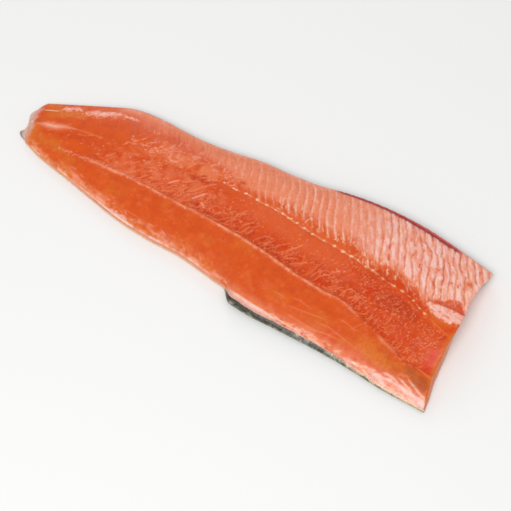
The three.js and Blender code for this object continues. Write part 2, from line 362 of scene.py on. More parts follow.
# Draws what a dictionary lists. The rows are what blotch, stroke and scatter take:
# spots: tissue, x, y, half length, half width, degrees, strength, raggedness, softness
# marks: tissue, points, half width, strength, taper
# strands: how many, tissues, where, heading, length, half width, strength, bend, points, stray, way to draw
def drawListed(look, rng):
    for spot in look.get("spots", []):
        blotch(*spot)
    for mark in look.get("marks", []):
        stroke(*mark)
    for strands in look.get("strands", []):
        scatter(rng, *strands)


# Where the pale meat of the loin begins
bloomStart = through(
    (-206, 40), (-150, 33), (-113, 33), (-84, 35), (-57, 32), (-30, 25), (-10, 19), (10, 19), (26, 23),
    (44, 23), (77, 20), (94, 22), (114, 13), (135, 16), (149, 15), (173, 6), (206, 6))
loinLow, loinHigh = shifted(bloomStart, -8), shifted(backEdge, -3)

loinLook = {
    "bloomStrength": through((-206, 0.1), (-130, 0.3), (-90, 0.55), (-40, 0.8), (30, 0.9), (110, 1)),
    "paleStrength": through((-60, 0), (20, 0.2), (70, 0.32), (105, 0.6), (128, 0.95), (206, 0.9)),
    "paleSeams": through((-80, 0), (-40, 0.18), (0, 0.4), (40, 0.75), (85, 1), (110, 0.6), (128, 0.25)),
    "deepSeams": through((60, 0), (95, 0.3), (112, 0.85), (150, 1), (206, 0.85)),
    "tierLine": through((100, 75), (128, 66), (140, 57), (152, 52), (165, 50), (178, 47), (206, 42)),
    # how strong the painted glints at the seams' low ends are
    "hookGlints": through((0, 0.1), (40, 0.4), (75, 0.85), (92, 0.7), (106, 0.3), (122, 0.25)),
    "fibreRun": (0.53, -0.848),  # the way the meat's fibres run, along the seams
    "bow": 1.7,
    "seamWidth": 0.65,
    # painted highlights of glossy streaks near the tail: from x, y to x, y, half width, how many flecks
    "glossStreaks": [(-192, 13, -177, 20, 1.9, 90), (-172, 18, -146, 32, 2.3, 190), (-146, 31, -128, 34, 1.3, 26)],
    # flecks round the streaks, small pale fibres over the pale part, and red veins by the head
    "strands": [
        (60, ("fibre",), beside(-192, -138, lambda x: mix(7, 29, (x + 190) / 50), 0, 2.4), (40, 18), (1, 3.4),
         (0.4, 0.5), (0.5, 0.8), 60),
        (120, ("fibre", "bloom", "pale"), zone(-120, 20, loinLow, loinHigh), (122, 16), (1.5, 5), (0.35, 0.5),
         (0.3, 0.7), 50),
        (320, ("fibre", "cream", "fibre", "pale"), zone(20, 200, loinLow, loinHigh, (0, 1), 1.3), (122, 14),
         (1.2, 5), (0.35, 0.42), (0.25, 0.7), 50),
        (18, ("seamDeep",), zone(110, 203, 24, shifted(backEdge, -6)), (122, 12), (3, 8), (0.6, 0.8),
         (0.8, 1), 10),
    ],
}


# Counts the seams between the blocks of muscle: whole on a seam
def seamCount(x, y):
    above = np.maximum(y - pinBoneLine(x), 0)
    share = above / (backEdge(x) - pinBoneLine(x))
    bow = loinLook["bow"] * np.sin(2 * pi * np.clip(share, 0, 1) * 0.85 + 0.5)
    upper = ease(y - loinLook["tierLine"](x), -0.6, 0.6)
    return (x + fillet["muscleLean"] * above + bow) / fillet["musclePitch"] + 0.45 * upper


def paintLoin():
    rng = np.random.default_rng(11)
    runX, runY = loinLook["fibreRun"]
    along = runX * planX + runY * planY
    across = -runY * planX + runX * planY + 1.2 * mottled(9, 45)
    # the pale meat ends low in uneven strands
    low = bloomStart(planX)
    start = low + 2 * mottled(9, 21) + 3 * cloud(along / 16, across, 0.9, 22)
    bloom = ease(planY - start, -4, 7) * loinLook["bloomStrength"](planX)
    lay("bloom", bloom * (0.9 + 0.1 * mottled(5, 23)))
    patches = 0.78 + 0.4 * cloud(along / 4, across, 1.5, 24) + 0.25 * mottled(4.2, 25)
    lay("pale", loinLook["paleStrength"](planX) * ease(planY - start, -1, 8) * patches)
    nearEdge = bell(onBack - planY, 5.5) * within(planX, -158, 70, 24)
    lay("pale", 0.62 * nearEdge * (0.75 + 0.45 * mottled(6, 26)))
    lay("gold", 0.85 * nearEdge * ease(mottled(7, 29), -0.5, 0.3))

    # blocks of muscle: whitish in the middle, a painted highlight by the head, with a pale or a deep orange
    # seam between two of them
    wavy = 0.14 * mottled(11, 27) + 0.07 * mottled(4, 30) + 0.02 * mottled(1.6, 32)
    count = seamCount(planX, planY) + wavy * mix(1, 1.7, ease(planX, 90, 150))
    seam = np.round(count).astype(int)
    aside = (count - seam) * fillet["musclePitch"] * 0.85
    toSeam = np.abs(aside)
    chances = rng.uniform(0, 1, (4, 200))[:, seam + 100]
    lowEnd = low - 3 + 8 * (chances[0] - 0.5)
    inLoin = ease(onBack - planY, 0.5, 3.5)
    width = loinLook["seamWidth"] * (0.75 + 0.6 * chances[1])
    uneven = 0.75 + 0.5 * mottled(6, 28)
    paleLine = loinLook["paleSeams"](planX) * (0.45 + 0.55 * chances[2]) * inLoin * uneven
    paleLine = paleLine * ease(planY, lowEnd - 1.5, lowEnd + 3)
    lay("seamPale", paleLine * bell(toSeam, width))
    # each pale seam has a painted highlight on one side and a painted shadow on the other
    lay("pale", 0.5 * paleLine * bell(aside - 0.9, 1.5))
    lay("seamDeep", 0.4 * paleLine * bell(aside + 1.5, 0.7))
    deepLine = loinLook["deepSeams"](planX) * (0.6 + 0.4 * chances[1]) * (0.8 + 0.4 * uneven)
    deepLine = deepLine * ease(planY, lowEnd - 4, lowEnd + 1) * ease(mottled(5, 33), -0.9, -0.2)
    lay("seamDeep", deepLine * bell(toSeam, width * (0.95 + 0.6 * mottled(6, 59))))
    # painted highlights: glossy white streaks down the middle of the blocks by the head
    white = np.clip(0.4 + 1.1 * cloud(along / 5, across, 1.3, 40) + 0.6 * (chances[3] - 0.5), 0, 1)
    lay("fat", white * ease(toSeam, 0.7, 2.0) * ease(planX, 80, 125) * inLoin * ease(planY - start, 0, 7))
    lay("fat", 0.6 * paleLine * bell(toSeam, 0.7 * width) * ease(mottled(8, 34), -0.4, 0.4))
    # a painted highlight: a thin cream line beside each deep seam
    lay("cream", 0.8 * deepLine * bell(aside - 1.2, 0.45) * inLoin * ease(mottled(5, 65), -0.2, 0.5))
    grain = cloud(along / 7, across, 1.0, 46)
    meat = np.clip(chart["bloom"] * 1.3, 0, 1)
    lay("fibre", 0.4 * ease(grain, 0.15, 0.8) * meat * (1 - ease(planX, 10, 90)))
    lay("seamDeep", 0.25 * ease(-grain, 0.2, 0.85) * meat)
    tier = np.abs(planY - loinLook["tierLine"](planX) + 1.2 * mottled(5, 29))
    lay("seamDeep", 0.8 * bell(tier, 0.6) * within(planX, 128, 178, 8))

    # seams end low in bright hooks, painted glints
    for k in range(1, 17):
        x0 = fillet["musclePitch"] * k
        base = at(bloomStart, x0) - 4 + rng.uniform(-3, 3)
        top = base + rng.uniform(5, 11)
        path = []
        for y in (base, mix(base, top, 0.4), top):
            above = y - at(pinBoneLine, x0)
            path.append((x0 - fillet["muscleLean"] * above - loinLook["bow"] * 0.5 + rng.normal(0, 0.35), y))
        path.insert(0, (path[0][0] - 1.8, base - 1.6))
        stroke("cream", path, 0.4, rng.uniform(0.4, 1) * at(loinLook["hookGlints"], x0))

    # painted highlights: glossy streaks beside the back edge near the tail, each a soft cluster of flecks
    for x0, y0, x1, y1, spread, flecks in loinLook["glossStreaks"]:
        heading = math.degrees(math.atan2(y1 - y0, x1 - x0))
        half = math.hypot(x1 - x0, y1 - y0) / 2
        blotch("pale", (x0 + x1) / 2, (y0 + y1) / 2, half, spread * 1.5, heading, 0.7, 0.8, 0.9)
        for k in range(flecks):
            share, off = rng.uniform(0, 1), rng.normal(0, spread * 0.55)
            x, y = mix(x0, x1, share) - 0.5 * off, mix(y0, y1, share) + 0.85 * off
            path = strand(x, y, 32 + rng.normal(0, 10), rng.uniform(0.6, 2.8), 20, 4)
            tissue = ("pale", "fat", "pale", "bloom")[k % 4]
            stroke(tissue, path, rng.uniform(0.3, 0.6), rng.uniform(0.4, 0.9))
    drawListed(loinLook, rng)


# The upper half of the band stays smooth between the tail and the head
def inRoughBand(rng):
    while True:
        x, share = 198 - 338 * rng.uniform() ** 1.2, rng.uniform(0.04, 0.97)
        if not (-40 < x < 95 and share > 0.5 and rng.uniform() < 0.75):
            return x, mix(at(ribLine, x), at(pinBoneLine, x), share)


ribHeading = through((-180, 34), (-90, 40), (0, 52), (60, 56), (206, 62))
tangles = [
    (-13, -4.5), (-6, -5.5), (104, -14), (94, -14), (-30, -6), (60, -14), (128, -20), (-34, -3), (-64, 22),
    (-84, 12), (-72, 9), (-36, 14), (-102, 15), (154, -18), (159, -22)]
# x, y, heading and length
longFibres = [
    (-52, -7, 30, 16), (-88, -12, 28, 14), (-70, -14, 36, 12), (-112, -10, 30, 14), (-96, -4, 24, 12),
    (-60, -1, 26, 14), (-44, 2, 34, 9), (-128, -12, 34, 10), (-84, 20, 30, 10), (-66, 16, 52, 9),
    (-98, 12, 20, 12), (-44, 13, 24, 10)]

bandLook = {
    "torn": through(
        (-176, 0), (-130, 0.35), (-70, 0.55), (-10, 0.75), (60, 0.9), (120, 1), (150, 0.95), (180, 0.65),
        (204, 0.3)),
    # how dark the wedges by the rib line are: red meat and painted shade
    "wedgeRedAndShade": through((-110, 0.1), (-60, 0.4), (-10, 0.95), (60, 0.95), (90, 0.4), (150, 0.35), (200, 0.1)),
    "ribWander": 0.55,
    # lip of the belly membrane, painted highlight on its crest: tissue, strength, how far below the rib line,
    # half width
    "lip": [
        ("bloom", 0.85, 0.1, 1.9), ("fibre", 0.65, 0.2, 1.2), ("pale", 0.25, 0.3, 1.1),
        ("cream", 0.2, 0.35, 0.5),
    ],
    "spots": [
        ("bloom", -80, 16, 34, 11, 8, 0.5, 0.5, 1.1), ("bloom", -40, 18, 16, 7, 4, 0.6, 0.6, 1.0),
        ("blood", 152, -12, 24, 8, -8, 0.75, 0.6), ("blood", 110, -14, 22, 6, -12, 0.25, 0.6),
        ("blood", 130, 7, 13, 5, -6, 0.4, 0.5, 0.9), ("blood", -22, -14, 12, 2.4, 5, 0.7, 0.4),
        ("blood", -34, -13, 7, 1.8, 20, 0.6, 0.3), ("blood", -46, 8, 10, 3, 8, 0.6, 0.7),
        ("redMeat", -36, -12.5, 10, 2.2, 10, 0.8, 0.3), ("redMeat", 202, -35, 13, 7.5, 72, 0.95, 0.4, 0.8),
        ("blood", 138, -4, 12, 4, -10, 0.4, 0.6), ("blood", 170, -22, 14, 4, 20, 0.3, 0.7),
        ("redMeat", 203, -7, 5, 3, 60, 0.8, 0.4, 0.8), ("blood", 200, -15.5, 4, 2.4, 40, 0.6, 0.4, 0.8),
    ],
    "marks": [
        ("pale", [(-44.6, -10.2), (-40.6, -5.9), (-34.1, 0.8)], 0.7, 0.9),
        ("pale", [(-42.9, 8), (-37.6, 12.7), (-32.2, 14.8)], 0.7, 0.8),
        ("fibre", [(-62.2, 9.3), (-61, 17.9), (-62.2, 22.4)], 0.7, 0.9),
        ("pale", [(-70.3, -8), (-65.7, -3.4), (-61.2, 0)], 0.7, 0.7),
        ("pale", [(-99.4, 16.9), (-95, 15.4), (-92.4, 12.8)], 0.8, 0.8),
        ("pale", [(-83.2, 13), (-77.1, 11.5), (-71.7, 13.6)], 0.7, 0.8),
        ("pale", [(-35.6, -8.6), (-32.2, -10.1), (-29.3, -11.9)], 0.8, 0.9),
        ("fibre", [(5.2, -10.5), (10.7, -6.2), (14.6, -2)], 0.7, 0.8),
        ("fibre", [(47, -15), (55.4, -7.8), (61.9, 0)], 0.7, 0.8),
        ("blood", [(-45, -13.4), (-39, -11.6), (-34.3, -10.7)], 1.8, 0.9),
        ("blood", [(-30.8, -13.5), (-28, -14.4), (-25, -14.7)], 1.5, 0.9),
        ("blood", [(-50.2, 7.7), (-46, 11.4), (-41.8, 14.1)], 1.3, 0.7),
        ("redMeat", [(-99.1, -18), (-94, -16), (-89.3, -14)], 1.8, 0.9),
        ("seamDeep", [(-16.9, 22), (-13, 23.6), (-9.5, 24.6)], 2.2, 0.9),
        ("blood", [(31.7, -16.4), (38, -14.4), (44.3, -13.2)], 2.0, 0.9),
        ("blood", [(40.1, -19.5), (44, -19), (47.7, -18.7)], 1.4, 0.9),
        ("blood", [(15, -16), (17, -12.4), (19.4, -9.7)], 1.4, 0.8),
        ("bloom", [(152, -38.5), (161, -41), (167, -42.4), (175, -45.5)], 1.8, 0.8),
        ("fibre", [(192, -46), (198, -46.5), (204.5, -47.8), (210, -48.4)], 0.8, 0.7),
    ],
    # short bright squiggles, torn fibre ends that are partly painted glints, thickest in a few tangles, and
    # only crumbs of them by the head
    "strands": [
        (230, ("fibre",), near(tangles, 6, 3.4), (ribHeading, 48), (0.8, 3.6), (0.3, 0.5), (0.3, 1),
         150, 6, 32, squiggle),
        (420, ("fibre",), inRoughBand, (ribHeading, 48), (0.8, 3.4), (0.3, 0.5), (0.3, 0.9),
         150, 6, 32, squiggle),
        (190, ("fibre",), zone(118, 203, ribLine, pinBoneLine, (0.04, 0.95)), (ribHeading, 60), (0.6, 2),
         (0.3, 0.45), (0.3, 0.9), 150, 6, 40, squiggle),
        # painted glints: small cream specks over the rough band
        (70, ("cream",), inRoughBand, (60, 30), (0.6, 2), (0.28, 0.32), (0.3, 0.6), 60),
        (150, ("blood",), inRoughBand, (55, 22), (1, 3.5), (0.5, 0.6), (0.3, 0.7), 40),
    ] + [
        (2, ("fibre",), near([(x, y)], 2, 1.4), (heading, 8), (length, length), (0.4, 0.6), (0.5, 0.9),
         60, 9, 16, squiggle) for x, y, heading, length in longFibres
    ] + [
        # fine strands above the pin bones, over the tail and again where the pale meat begins
        (190, ("fibre", "pale"), beside(-124, -18, pinBoneLine, 8, 5), (38, 35), (1.5, 7.5), (0.3, 0.45),
         (0.3, 0.9), 70, 6, 18),
        (330, ("fibre", "fibre", "fibre", "pale", "fibre", "cream"),
         zone(20, 182, shifted(pinBoneLine, 1.5), shifted(bloomStart, 4), (0, 1), 0.8), (118, 24), (1, 6.5),
         (0.28, 0.42), (0.3, 0.85), 50, 6, 14),
        # crumbs along the lip of the belly membrane
        (230, ("fibre", "bloom", "fibre", "pale"), beside(-150, 140, ribLine, 0, 0.9), (0, 25), (1, 4),
         (0.35, 0.5), (0.3, 0.8), 20),
        (90, ("fibre", "fibre", "pale"), beside(-172, -96, ribLine, 0.4, 0.9), (8, 30), (0.6, 2.8),
         (0.4, 0.75), (0.3, 0.7), 30, 4),
        (44, ("fibre", "bloom", "fibre", "pale"), beside(138, 194, ribLine, 0.6, 1.5), (-10, 40), (0.6, 2.4),
         (0.35, 0.55), (0.3, 0.75), 60, 5, 30),
    ],
}


def paintBand():
    rng = np.random.default_rng(12)
    wander = bandLook["ribWander"] * cloud(planX, 0 * planY, 5, 30) + 0.5 * cloud(planX, 0 * planY, 13, 32)
    fromRib = planY - onRib - wander
    share = fromRib / (onPin - onRib)
    inBand = ease(share, 0.0, 0.07) * (1 - ease(share, 0.82, 1.02))
    smooth = ease(share, 0.4, 0.68) * (1 - ease(planX, 80, 130)) * ease(planX, -40, 20)
    patches = 0.8 + 0.35 * mottled(7, 31)
    lay("torn", inBand * bandLook["torn"](planX) * (1 - 0.75 * smooth) * patches)
    lay("bloom", 0.2 * smooth * (1 - ease(share, 1, 1.3)) * patches)
    lay("bloom", within(planX, -150, 0, 40) * inBand * np.clip(0.2 + 0.35 * mottled(4, 49), 0, 0.5))
    # torn meat also shows above the pin bones by the head, round the last of them
    lay("torn", 0.75 * bell(planY - onPin - 2, 7) * within(planX, 112, 190, 26))

    # fine fibres, drawn as noise stretched along the direction that the ribs had
    heading = np.radians(ribHeading(planX) + 22 * mottled(16, 48))
    along = planX * np.cos(heading) + planY * np.sin(heading)
    across = -planX * np.sin(heading) + planY * np.cos(heading) + 1.8 * mottled(8, 32)
    fine = 1 - np.abs(cloud(along / 5, across, 1.1, 33))
    lay("fibre", 0.3 * ease(fine, 0.88, 0.99) * chart["torn"] * (0.3 + 0.9 * mottled(6, 34)))
    hollow = cloud(along / 4, across, 2.0, 35) + 0.5 * mottled(5, 36)
    deeper = 0.1 + 0.28 * (1 - ease(share, 0.1, 0.75))
    lay("blood", deeper * ease(hollow, 0.15, 0.9) * chart["torn"])
    lay("redMeat", 0.25 * chart["torn"] * ease(mottled(11, 47), -0.2, 0.8))

    # where each rib was cut away: a dark wedge, red meat with the shade of its hollow painted in, and pale
    # strands
    for k in range(-14, 26):
        x = fillet["musclePitch"] * k + rng.uniform(-2.2, 2.2)
        rib = at(ribLine, x)
        room = at(pinBoneLine, x) - rib
        tilt = at(ribHeading, x) + rng.normal(0, 9)
        deep = at(bandLook["wedgeRedAndShade"], x)
        path = strand(x, rib + 1.4, tilt, rng.uniform(0.18, 0.45) * room, rng.uniform(-12, 25))
        stroke("blood", path, rng.uniform(0.9, 2.0), deep * rng.uniform(0.5, 1), 0.55)
        path = strand(x + rng.uniform(2, 5), rib + 1.2, tilt - 12, rng.uniform(0.1, 0.2) * room, 10)
        stroke("blood", path, rng.uniform(0.7, 1.3), deep * rng.uniform(0.4, 1), 0.6)
        for part in range(2):
            reach = rng.uniform(0.3, 0.7) * room * mix(1, 0.4, float(ease(x, 90, 150)))
            foot = rib + rng.uniform(1, 4)
            path = strand(x + 2 + 3.5 * part, foot, tilt + rng.normal(0, 14), reach, rng.uniform(-80, 80), 7)
            squiggle("fibre", path, rng.uniform(0.4, 0.6), rng.uniform(0.35, 0.85))

    # the belly membrane's lip along the rib line, with a painted highlight on its crest; by both ends it
    # breaks up into crumbs
    broken = ease(mottled(3.4, 43) + 0.5 * mottled(1.4, 44), -0.3, 0.5)
    lip = within(planX, -150, 136, 24) * (0.7 + 0.3 * broken)
    for name, strength, off, width in bandLook["lip"]:
        lay(name, strength * lip * mix(1, broken, 0.6) * bell(fromRib + off, width))
    drawListed(bandLook, rng)


pinBoneLook = {
    # where each bone's cut end shows along the pin bone line
    "stations": [
        -27, -14.5, -5, 5.5, 15, 24, 31.5, 37, 46, 54, 63, 74, 84, 92, 100, 107, 115, 122, 133, 144, 152,
        164, 171, 177],
    "tipRadius": 0.4,
    "tipLength": 2.2,
    "tipFoot": -1.2,  # from here below the face each tip rises by tipRise
    "tipRise": 1.75,
    "tipSides": 8,
    # the line runs out in a faint groove towards the head
    "marks": [("fibre", [(180, -5.9), (189.6, -9.1), (198.7, -11.7), (205, -13)], 0.6, 0.5)],
}


def pinWave(x):
    return 0.6 * cloud(x, 0 * x, 7, 51) + 0.35 * cloud(x, 0 * x, 2.6, 58)


def paintPinBones():
    rng = np.random.default_rng(13)
    offLine = planY - onPin - pinWave(planX)
    broken = ease(mottled(2.6, 52), -0.5, 0.3)
    lay("cream", 0.3 * bell(offLine, 0.4) * within(planX, -20, 182, 16) * broken)
    lay("fibre", 0.5 * bell(offLine, 0.5) * within(planX, -60, 186, 20) * (0.5 + 0.5 * broken))
    lay("fibre", 0.35 * bell(offLine, 1.0) * within(planX, -120, -40, 20) * broken)
    # a painted shadow along the low side of the line
    lay("seamDeep", 0.4 * bell(offLine + 1.6, 0.9) * within(planX, -10, 150, 20))
    for x in pinBoneLook["stations"]:
        y = at(pinBoneLine, x) + at(pinWave, x)
        slope = math.degrees(math.atan2(at(pinBoneLine, x + 2) - at(pinBoneLine, x - 2), 4))
        if rng.uniform() < 0.6:
            blotch("bloom", x, y, 2.6, 1.5, slope, 0.7, 0.3)
        blotch("redMeat", x - 2.4, y - 0.9, 1.4, 0.9, slope, rng.uniform(0.2, 0.8), 0.2)
        for k in range(rng.integers(1, 3)):
            startX, startY = x - 1.2 + rng.normal(0, 1.6) * k, y + rng.normal(0, 0.3)
            path = strand(startX, startY, slope + rng.normal(8, 14), rng.uniform(0.8, 3), 10, 3)
            stroke("cream", path, rng.uniform(0.35, 0.7), rng.uniform(0.7, 1), 0.2)
    drawListed(pinBoneLook, rng)


fatTop = through((170, 3), (173.6, 5.2), (184, 8), (197, 9.4), (206, 9.4))
fatLow = through((170, 2.8), (175, 1.2), (180.5, -1.1), (187, -2.9), (193.3, -3.4), (200, -1), (206, 1.6))
wedgeTop = through((172, 4), (177, 10), (184, 14.5), (191, 19.5), (196, 20), (200, 17.5), (205, 12))

headLook = {
    # width of the loose fat along the flap's edge
    "looseFat": through(
        (136, 1.5), (152, 3), (165, 4.6), (172, 6.6), (186, 7.4), (196, 9.4), (205, 8), (213, 5.5)),
    "spots": [
        ("seamDeep", 182, 32.2, 2.4, 1.6, 30, 0.7, 0.3), ("bloom", 194, 40, 5, 3.6, 20, 0.9, 0.4),
        ("seamDeep", 194, 40, 4, 3, 20, 0.5, 0.4), ("blood", 202, 55, 1.6, 2.6, 60, 0.5, 0.3),
        ("gold", 164, -54, 30, 8, -6, 0.7, 0.5, 0.9), ("gold", 170, -57, 8, 4, -6, 0.8, 0.4, 0.9),
        ("membrane", 174, -54, 16, 4, -20, 0.35, 0.5, 0.9),
        ("membrane", 197, -54.5, 12, 6, -16, 0.8, 0.4, 0.7),
        ("amber", 205, -55, 7, 5.4, -50, 0.85, 0.3, 0.7), ("membrane", 175, -60.5, 7, 1.8, 14, 0.4, 0.5, 0.9),
        ("bloom", 188, -57.5, 5, 1.8, 18, 0.8, 0.5), ("crimson", 168, -68, 6, 1.4, 0, 0.5, 0.6),
        ("crimson", 205, -65.6, 5, 1.4, -20, 0.6, 0.5), ("gold", 212, -68, 5, 3.4, -50, 0.9, 0.3),
    ],
    "strands": [
        (70, ("crimson", "fibre", "seamDeep", "bloom"), zone(174, 205, fatLow, fatTop, (-0.1, 1.05)),
         (14, 24), (0.8, 3.4), (0.35, 0.6), (0.4, 0.9), 20, 4),
        (50, ("cream",), zone(176, 206, 12, 28), (122, 15), (1.5, 4), (0.35, 0.42), (0.2, 0.6), 20),
    ],
    "paleLines": [
        [(171.5, -63.5), (175.6, -62.7), (181.2, -62.9), (185.5, -63.9), (190, -65.5)],
        [(192, -57.8), (196.7, -59.6), (205, -62.8), (210.6, -64.5), (213.5, -67)],
        [(154, -65.8), (162, -65.2), (168, -64.6)],
        [(184, -60.4), (191, -62), (198, -64.5), (204, -67)],
    ],
}


def paintHeadEnd():
    rng = np.random.default_rng(14)
    top, low = fatTop(planX), fatLow(planX)
    frayed = 1.3 * mottled(3.2, 60) + 0.8 * mottled(1.4, 64)
    # smooth meat shows in a wedge above the ridge of fat, in a bare spot of the loin, and where the
    # last rib ended on the cut
    wedge = ease(planY - top, -1, 1.2) * ease(wedgeTop(planX) - planY + frayed, -1.2, 1.8)
    wedge = wedge * ease(planX, 173, 180)
    bare = 1 - ease(np.hypot((planX - 193.5) / 6, (planY - 39.6) / 4), 0.4, 1.1)
    sleek = 1 - ease(np.hypot((planX - 202) / 8, (planY + 35.5) / 11), 0.55, 1.1)
    clear(("bloom", "pale", "seamPale", "seamDeep", "fat", "cream", "fibre"), 0.93 * wedge)
    clear(("pale", "fat", "cream"), 0.75 * bare)
    clear(("fibre", "cream", "blood"), 0.9 * sleek)
    clear(("torn",), 0.25 * sleek)
    lay("bloom", 0.25 * wedge * ease(mottled(3, 62), -0.2, 0.6))
    lay("torn", 0.4 * wedge)
    lay("redMeat", 0.5 * wedge * ease(planX, 184, 200))
    inFat = ease(planY - low + frayed, -0.5, 1.3) * ease(top - planY + frayed, -0.5, 1.3)
    inFat = inFat * ease(planX, 171, 177)
    lay("pale", inFat * 0.95)
    lay("fat", inFat * np.clip(0.35 + 0.8 * cloud(planX / 2.5 + planY, planY - planX / 5, 1.5, 61), 0, 0.85))
    lay("gold", 0.55 * bell(planY - low + 2 + 0.6 * frayed, 1.8) * within(planX, 178, 208, 6))
    # the cut edge is stained gold where the membrane ends on it
    toCut = headCut(planY) - planX
    lay("gold", 0.75 * bell(toCut, 2.6) * (1 - ease(planY, -9, -2)))
    lay("cream", 0.7 * bell(toCut - 0.5, 0.5) * ease(planY, 26, 32) * ease(mottled(3, 66), -0.4, 0.2))

    # the flap's edge: pink and white fat in long loose folds
    inward = planY - onBelly
    width = headLook["looseFat"](planX)
    loose = (1 - ease(inward + 1.2 * mottled(5, 83), 0.7 * width, width)) * ease(planX, 134, 150)
    folds = cloud(planX / 6 + planY / 3, inward + 0.8 * mottled(8, 85), 1.9, 84)
    lay("bloom", 0.9 * loose)
    lay("pale", loose * (0.35 + 0.4 * ease(folds, -0.5, 0.4)))
    lay("fat", loose * ease(folds + 0.5 * (1 - inward / width), 0.15, 0.8) * (0.6 + 0.3 * mottled(3, 87)))
    lay("crimson", 0.4 * loose * ease(-folds, 0.0, 0.5) * ease(mottled(6, 86), -0.2, 0.5))
    for line in headLook["paleLines"]:
        stroke("pale", line, 1.2, 0.6)
        stroke("cream", line, 0.5, 0.45)
    drawListed(headLook, rng)


# How far the soft tones reach in from the belly edge
marginWidth = through((-200, 4.5), (-120, 8), (-60, 8.5), (10, 7), (60, 4), (120, 4), (160, 3), (214, 3))

flapLook = {
    "fatBandWidth": through(
        (20, 1.0), (28, 3.2), (40, 3.8), (55, 3.7), (64, 3.2), (71, 2.0), (77, 1.0), (92, 0.6)),
    "lines": [
        [(58, -49), (66, -48), (74, -49.5)],
        [(76, -46), (84, -44.7), (96, -47)],
        [(118, -43), (125, -42.5), (134, -44), (142, -43)],
        [(131, -47), (135, -41), (138, -35)],
        [(-92, -47), (-84, -45), (-78, -46.5)],
        [(72.5, -59), (88.7, -59.5), (104.7, -59.8), (118.9, -57.5), (132.6, -57)],
        [(102.4, -53.6), (115.8, -52.4), (131.3, -54.7), (144.8, -56.6)],
        [(74, -53.6), (93, -51), (113, -47.7)],
    ],
    "spots": [
        ("fat", -92, -52, 12, 2.6, -6, 0.5, 0.6), ("bloom", -140, -40, 7, 3, -20, 0.6, 0.5),
        ("bloom", -112, -46, 8, 3.4, -14, 0.7, 0.5),
    ],
    # folds of membrane past the notch
    "marks": [
        ("cream", [(70, -65), (77.5, -66.4), (84.8, -66.6), (92.8, -66.4)], 0.5, 0.8),
        ("bloom", [(78, -65), (90, -64.6), (101, -65.4)], 0.9, 0.9),
        ("bloom", [(92, -66.5), (103, -65.6), (112, -65.4), (122, -66.3)], 1.2, 0.9),
        ("crimson", [(93, -67), (98, -66.8), (104, -66.9)], 0.9, 0.8),
        ("pale", [(98, -64.4), (106, -63.8), (113, -64.6)], 0.7, 0.7),
        ("vein", [(74, -68.2), (80, -67.9), (86, -67.6)], 0.8, 0.6),
    ],
    # stripes along the trimmed edge, flecks past the notch, small marks of the smooth membrane
    "strands": [
        (230, ("pale", "bloom", "gold", "fibre", "gold"),
         zone(-198, 14, bellyEdge, lambda x: bellyEdge(x) + 1.2 * marginWidth(x), (0, 1), 1.5), (-16, 10),
         (2.5, 9), (0.35, 0.7), (0.2, 0.55), 20),
        (130, ("pale", "torn", "fibre", "torn", "cream"),
         zone(66, 206, bellyEdge, lambda x: bellyEdge(x) + 1.1 * marginWidth(x)), (0, 10), (3, 10),
         (0.3, 0.6), (0.3, 0.8), 20),
        (300, ("fibre", "fibre", "fibre", "blood"),
         zone(-190, 196, shifted(bellyEdge, 3), shifted(ribLine, -2)), (90, 60), (0.5, 2.2),
         (0.38, 0.42), (0.15, 0.5), 30, 3),
    ],
}


def paintFlap():
    inward = planY - onBelly
    margin = marginWidth(planX)
    trimmed = 1 - pastNotch(planX)
    # along the trimmed edge the meat fades in soft stripes of gold and pink
    soft = trimmed * (1 - ease(inward + 1.6 * mottled(6, 71), 0.2 * margin, 1.25 * margin))
    stripes = cloud(planX / 5, inward, 2.2, 72) + 0.4 * mottled(2.6, 73)
    lay("gold", soft * (0.85 + 0.3 * stripes) * mix(1, 0.8, ease(planX, -165, -120)))
    lay("pale", soft * np.clip(0.22 + 0.6 * stripes, 0, 0.8) * mix(0.7, 1, ease(planX, -190, -150)))
    # a painted highlight along the trimmed edge, laid in the pale fat tone
    edgeHighlight = bell(inward, 1.1) * within(planX, -112, -42, 16)
    edgeHighlight = edgeHighlight + 0.5 * bell(inward, 0.8) * within(planX, -160, 12, 20)
    lay("fat", 0.9 * edgeHighlight * ease(mottled(6, 74), -1.3, 0.5))
    lay("cream", trimmed * 0.5 * bell(inward - 0.4, 0.6) * ease(mottled(4, 75), -0.1, 0.5))

    # past the notch the belly fat shows as a broad pale band, then as flecks and folds
    band = flapLook["fatBandWidth"](planX)
    inFat = (1 - ease(inward, band - 0.8, band + 0.4)) * within(planX, 22, 82, 8)
    # the band is greyer along its outer edge and white further in: painted shade along that edge
    lay("silver", 0.9 * inFat)
    lay("fat", 0.75 * inFat * ease(inward + 0.6 * mottled(6, 76), 0.6, 3.2) * ease(planX, 20, 40))
    lay("cream", 0.6 * bell(inward - band, 0.45) * within(planX, 28, 78, 8))
    lay("bloom", 0.65 * (1 - ease(inward + 2 * mottled(5, 79), band, band + 9)) * pastNotch(planX))
    flecks = ease(cloud(planX / 2.5, planY, 2.0, 80) + 0.6 * mottled(1.2, 81), 0.05, 0.6)
    edgeZone = (1 - ease(inward + 1.2 * mottled(4, 82), 0.4 * margin, margin)) * ease(planX, 74, 90)
    lay("fat", edgeZone * flecks * 0.4)
    lay("bloom", edgeZone * 0.5)

    # faint mottling and long lines of the smooth membrane
    onFlap = ease(onRib - planY, 0.5, 4)
    tones = 0.6 * mottled(5, 86) + 0.5 * mottled(2.1, 87)
    lay("bloom", 0.17 * onFlap * ease(tones, 0.1, 0.8))
    lay("seamDeep", 0.5 * onFlap * ease(-tones, 0.1, 0.8))
    lay("gold", 0.35 * onFlap * ease(mottled(12, 88), -0.1, 0.8))
    for line in flapLook["lines"]:
        stroke("fibre", line, 0.5, 0.5)
    drawListed(flapLook, np.random.default_rng(15))


tailMiddle = [(-204, -12), (-198, -9.5), (-192, -8), (-186, -6.6), (-178, -3), (-169, -0.4)]

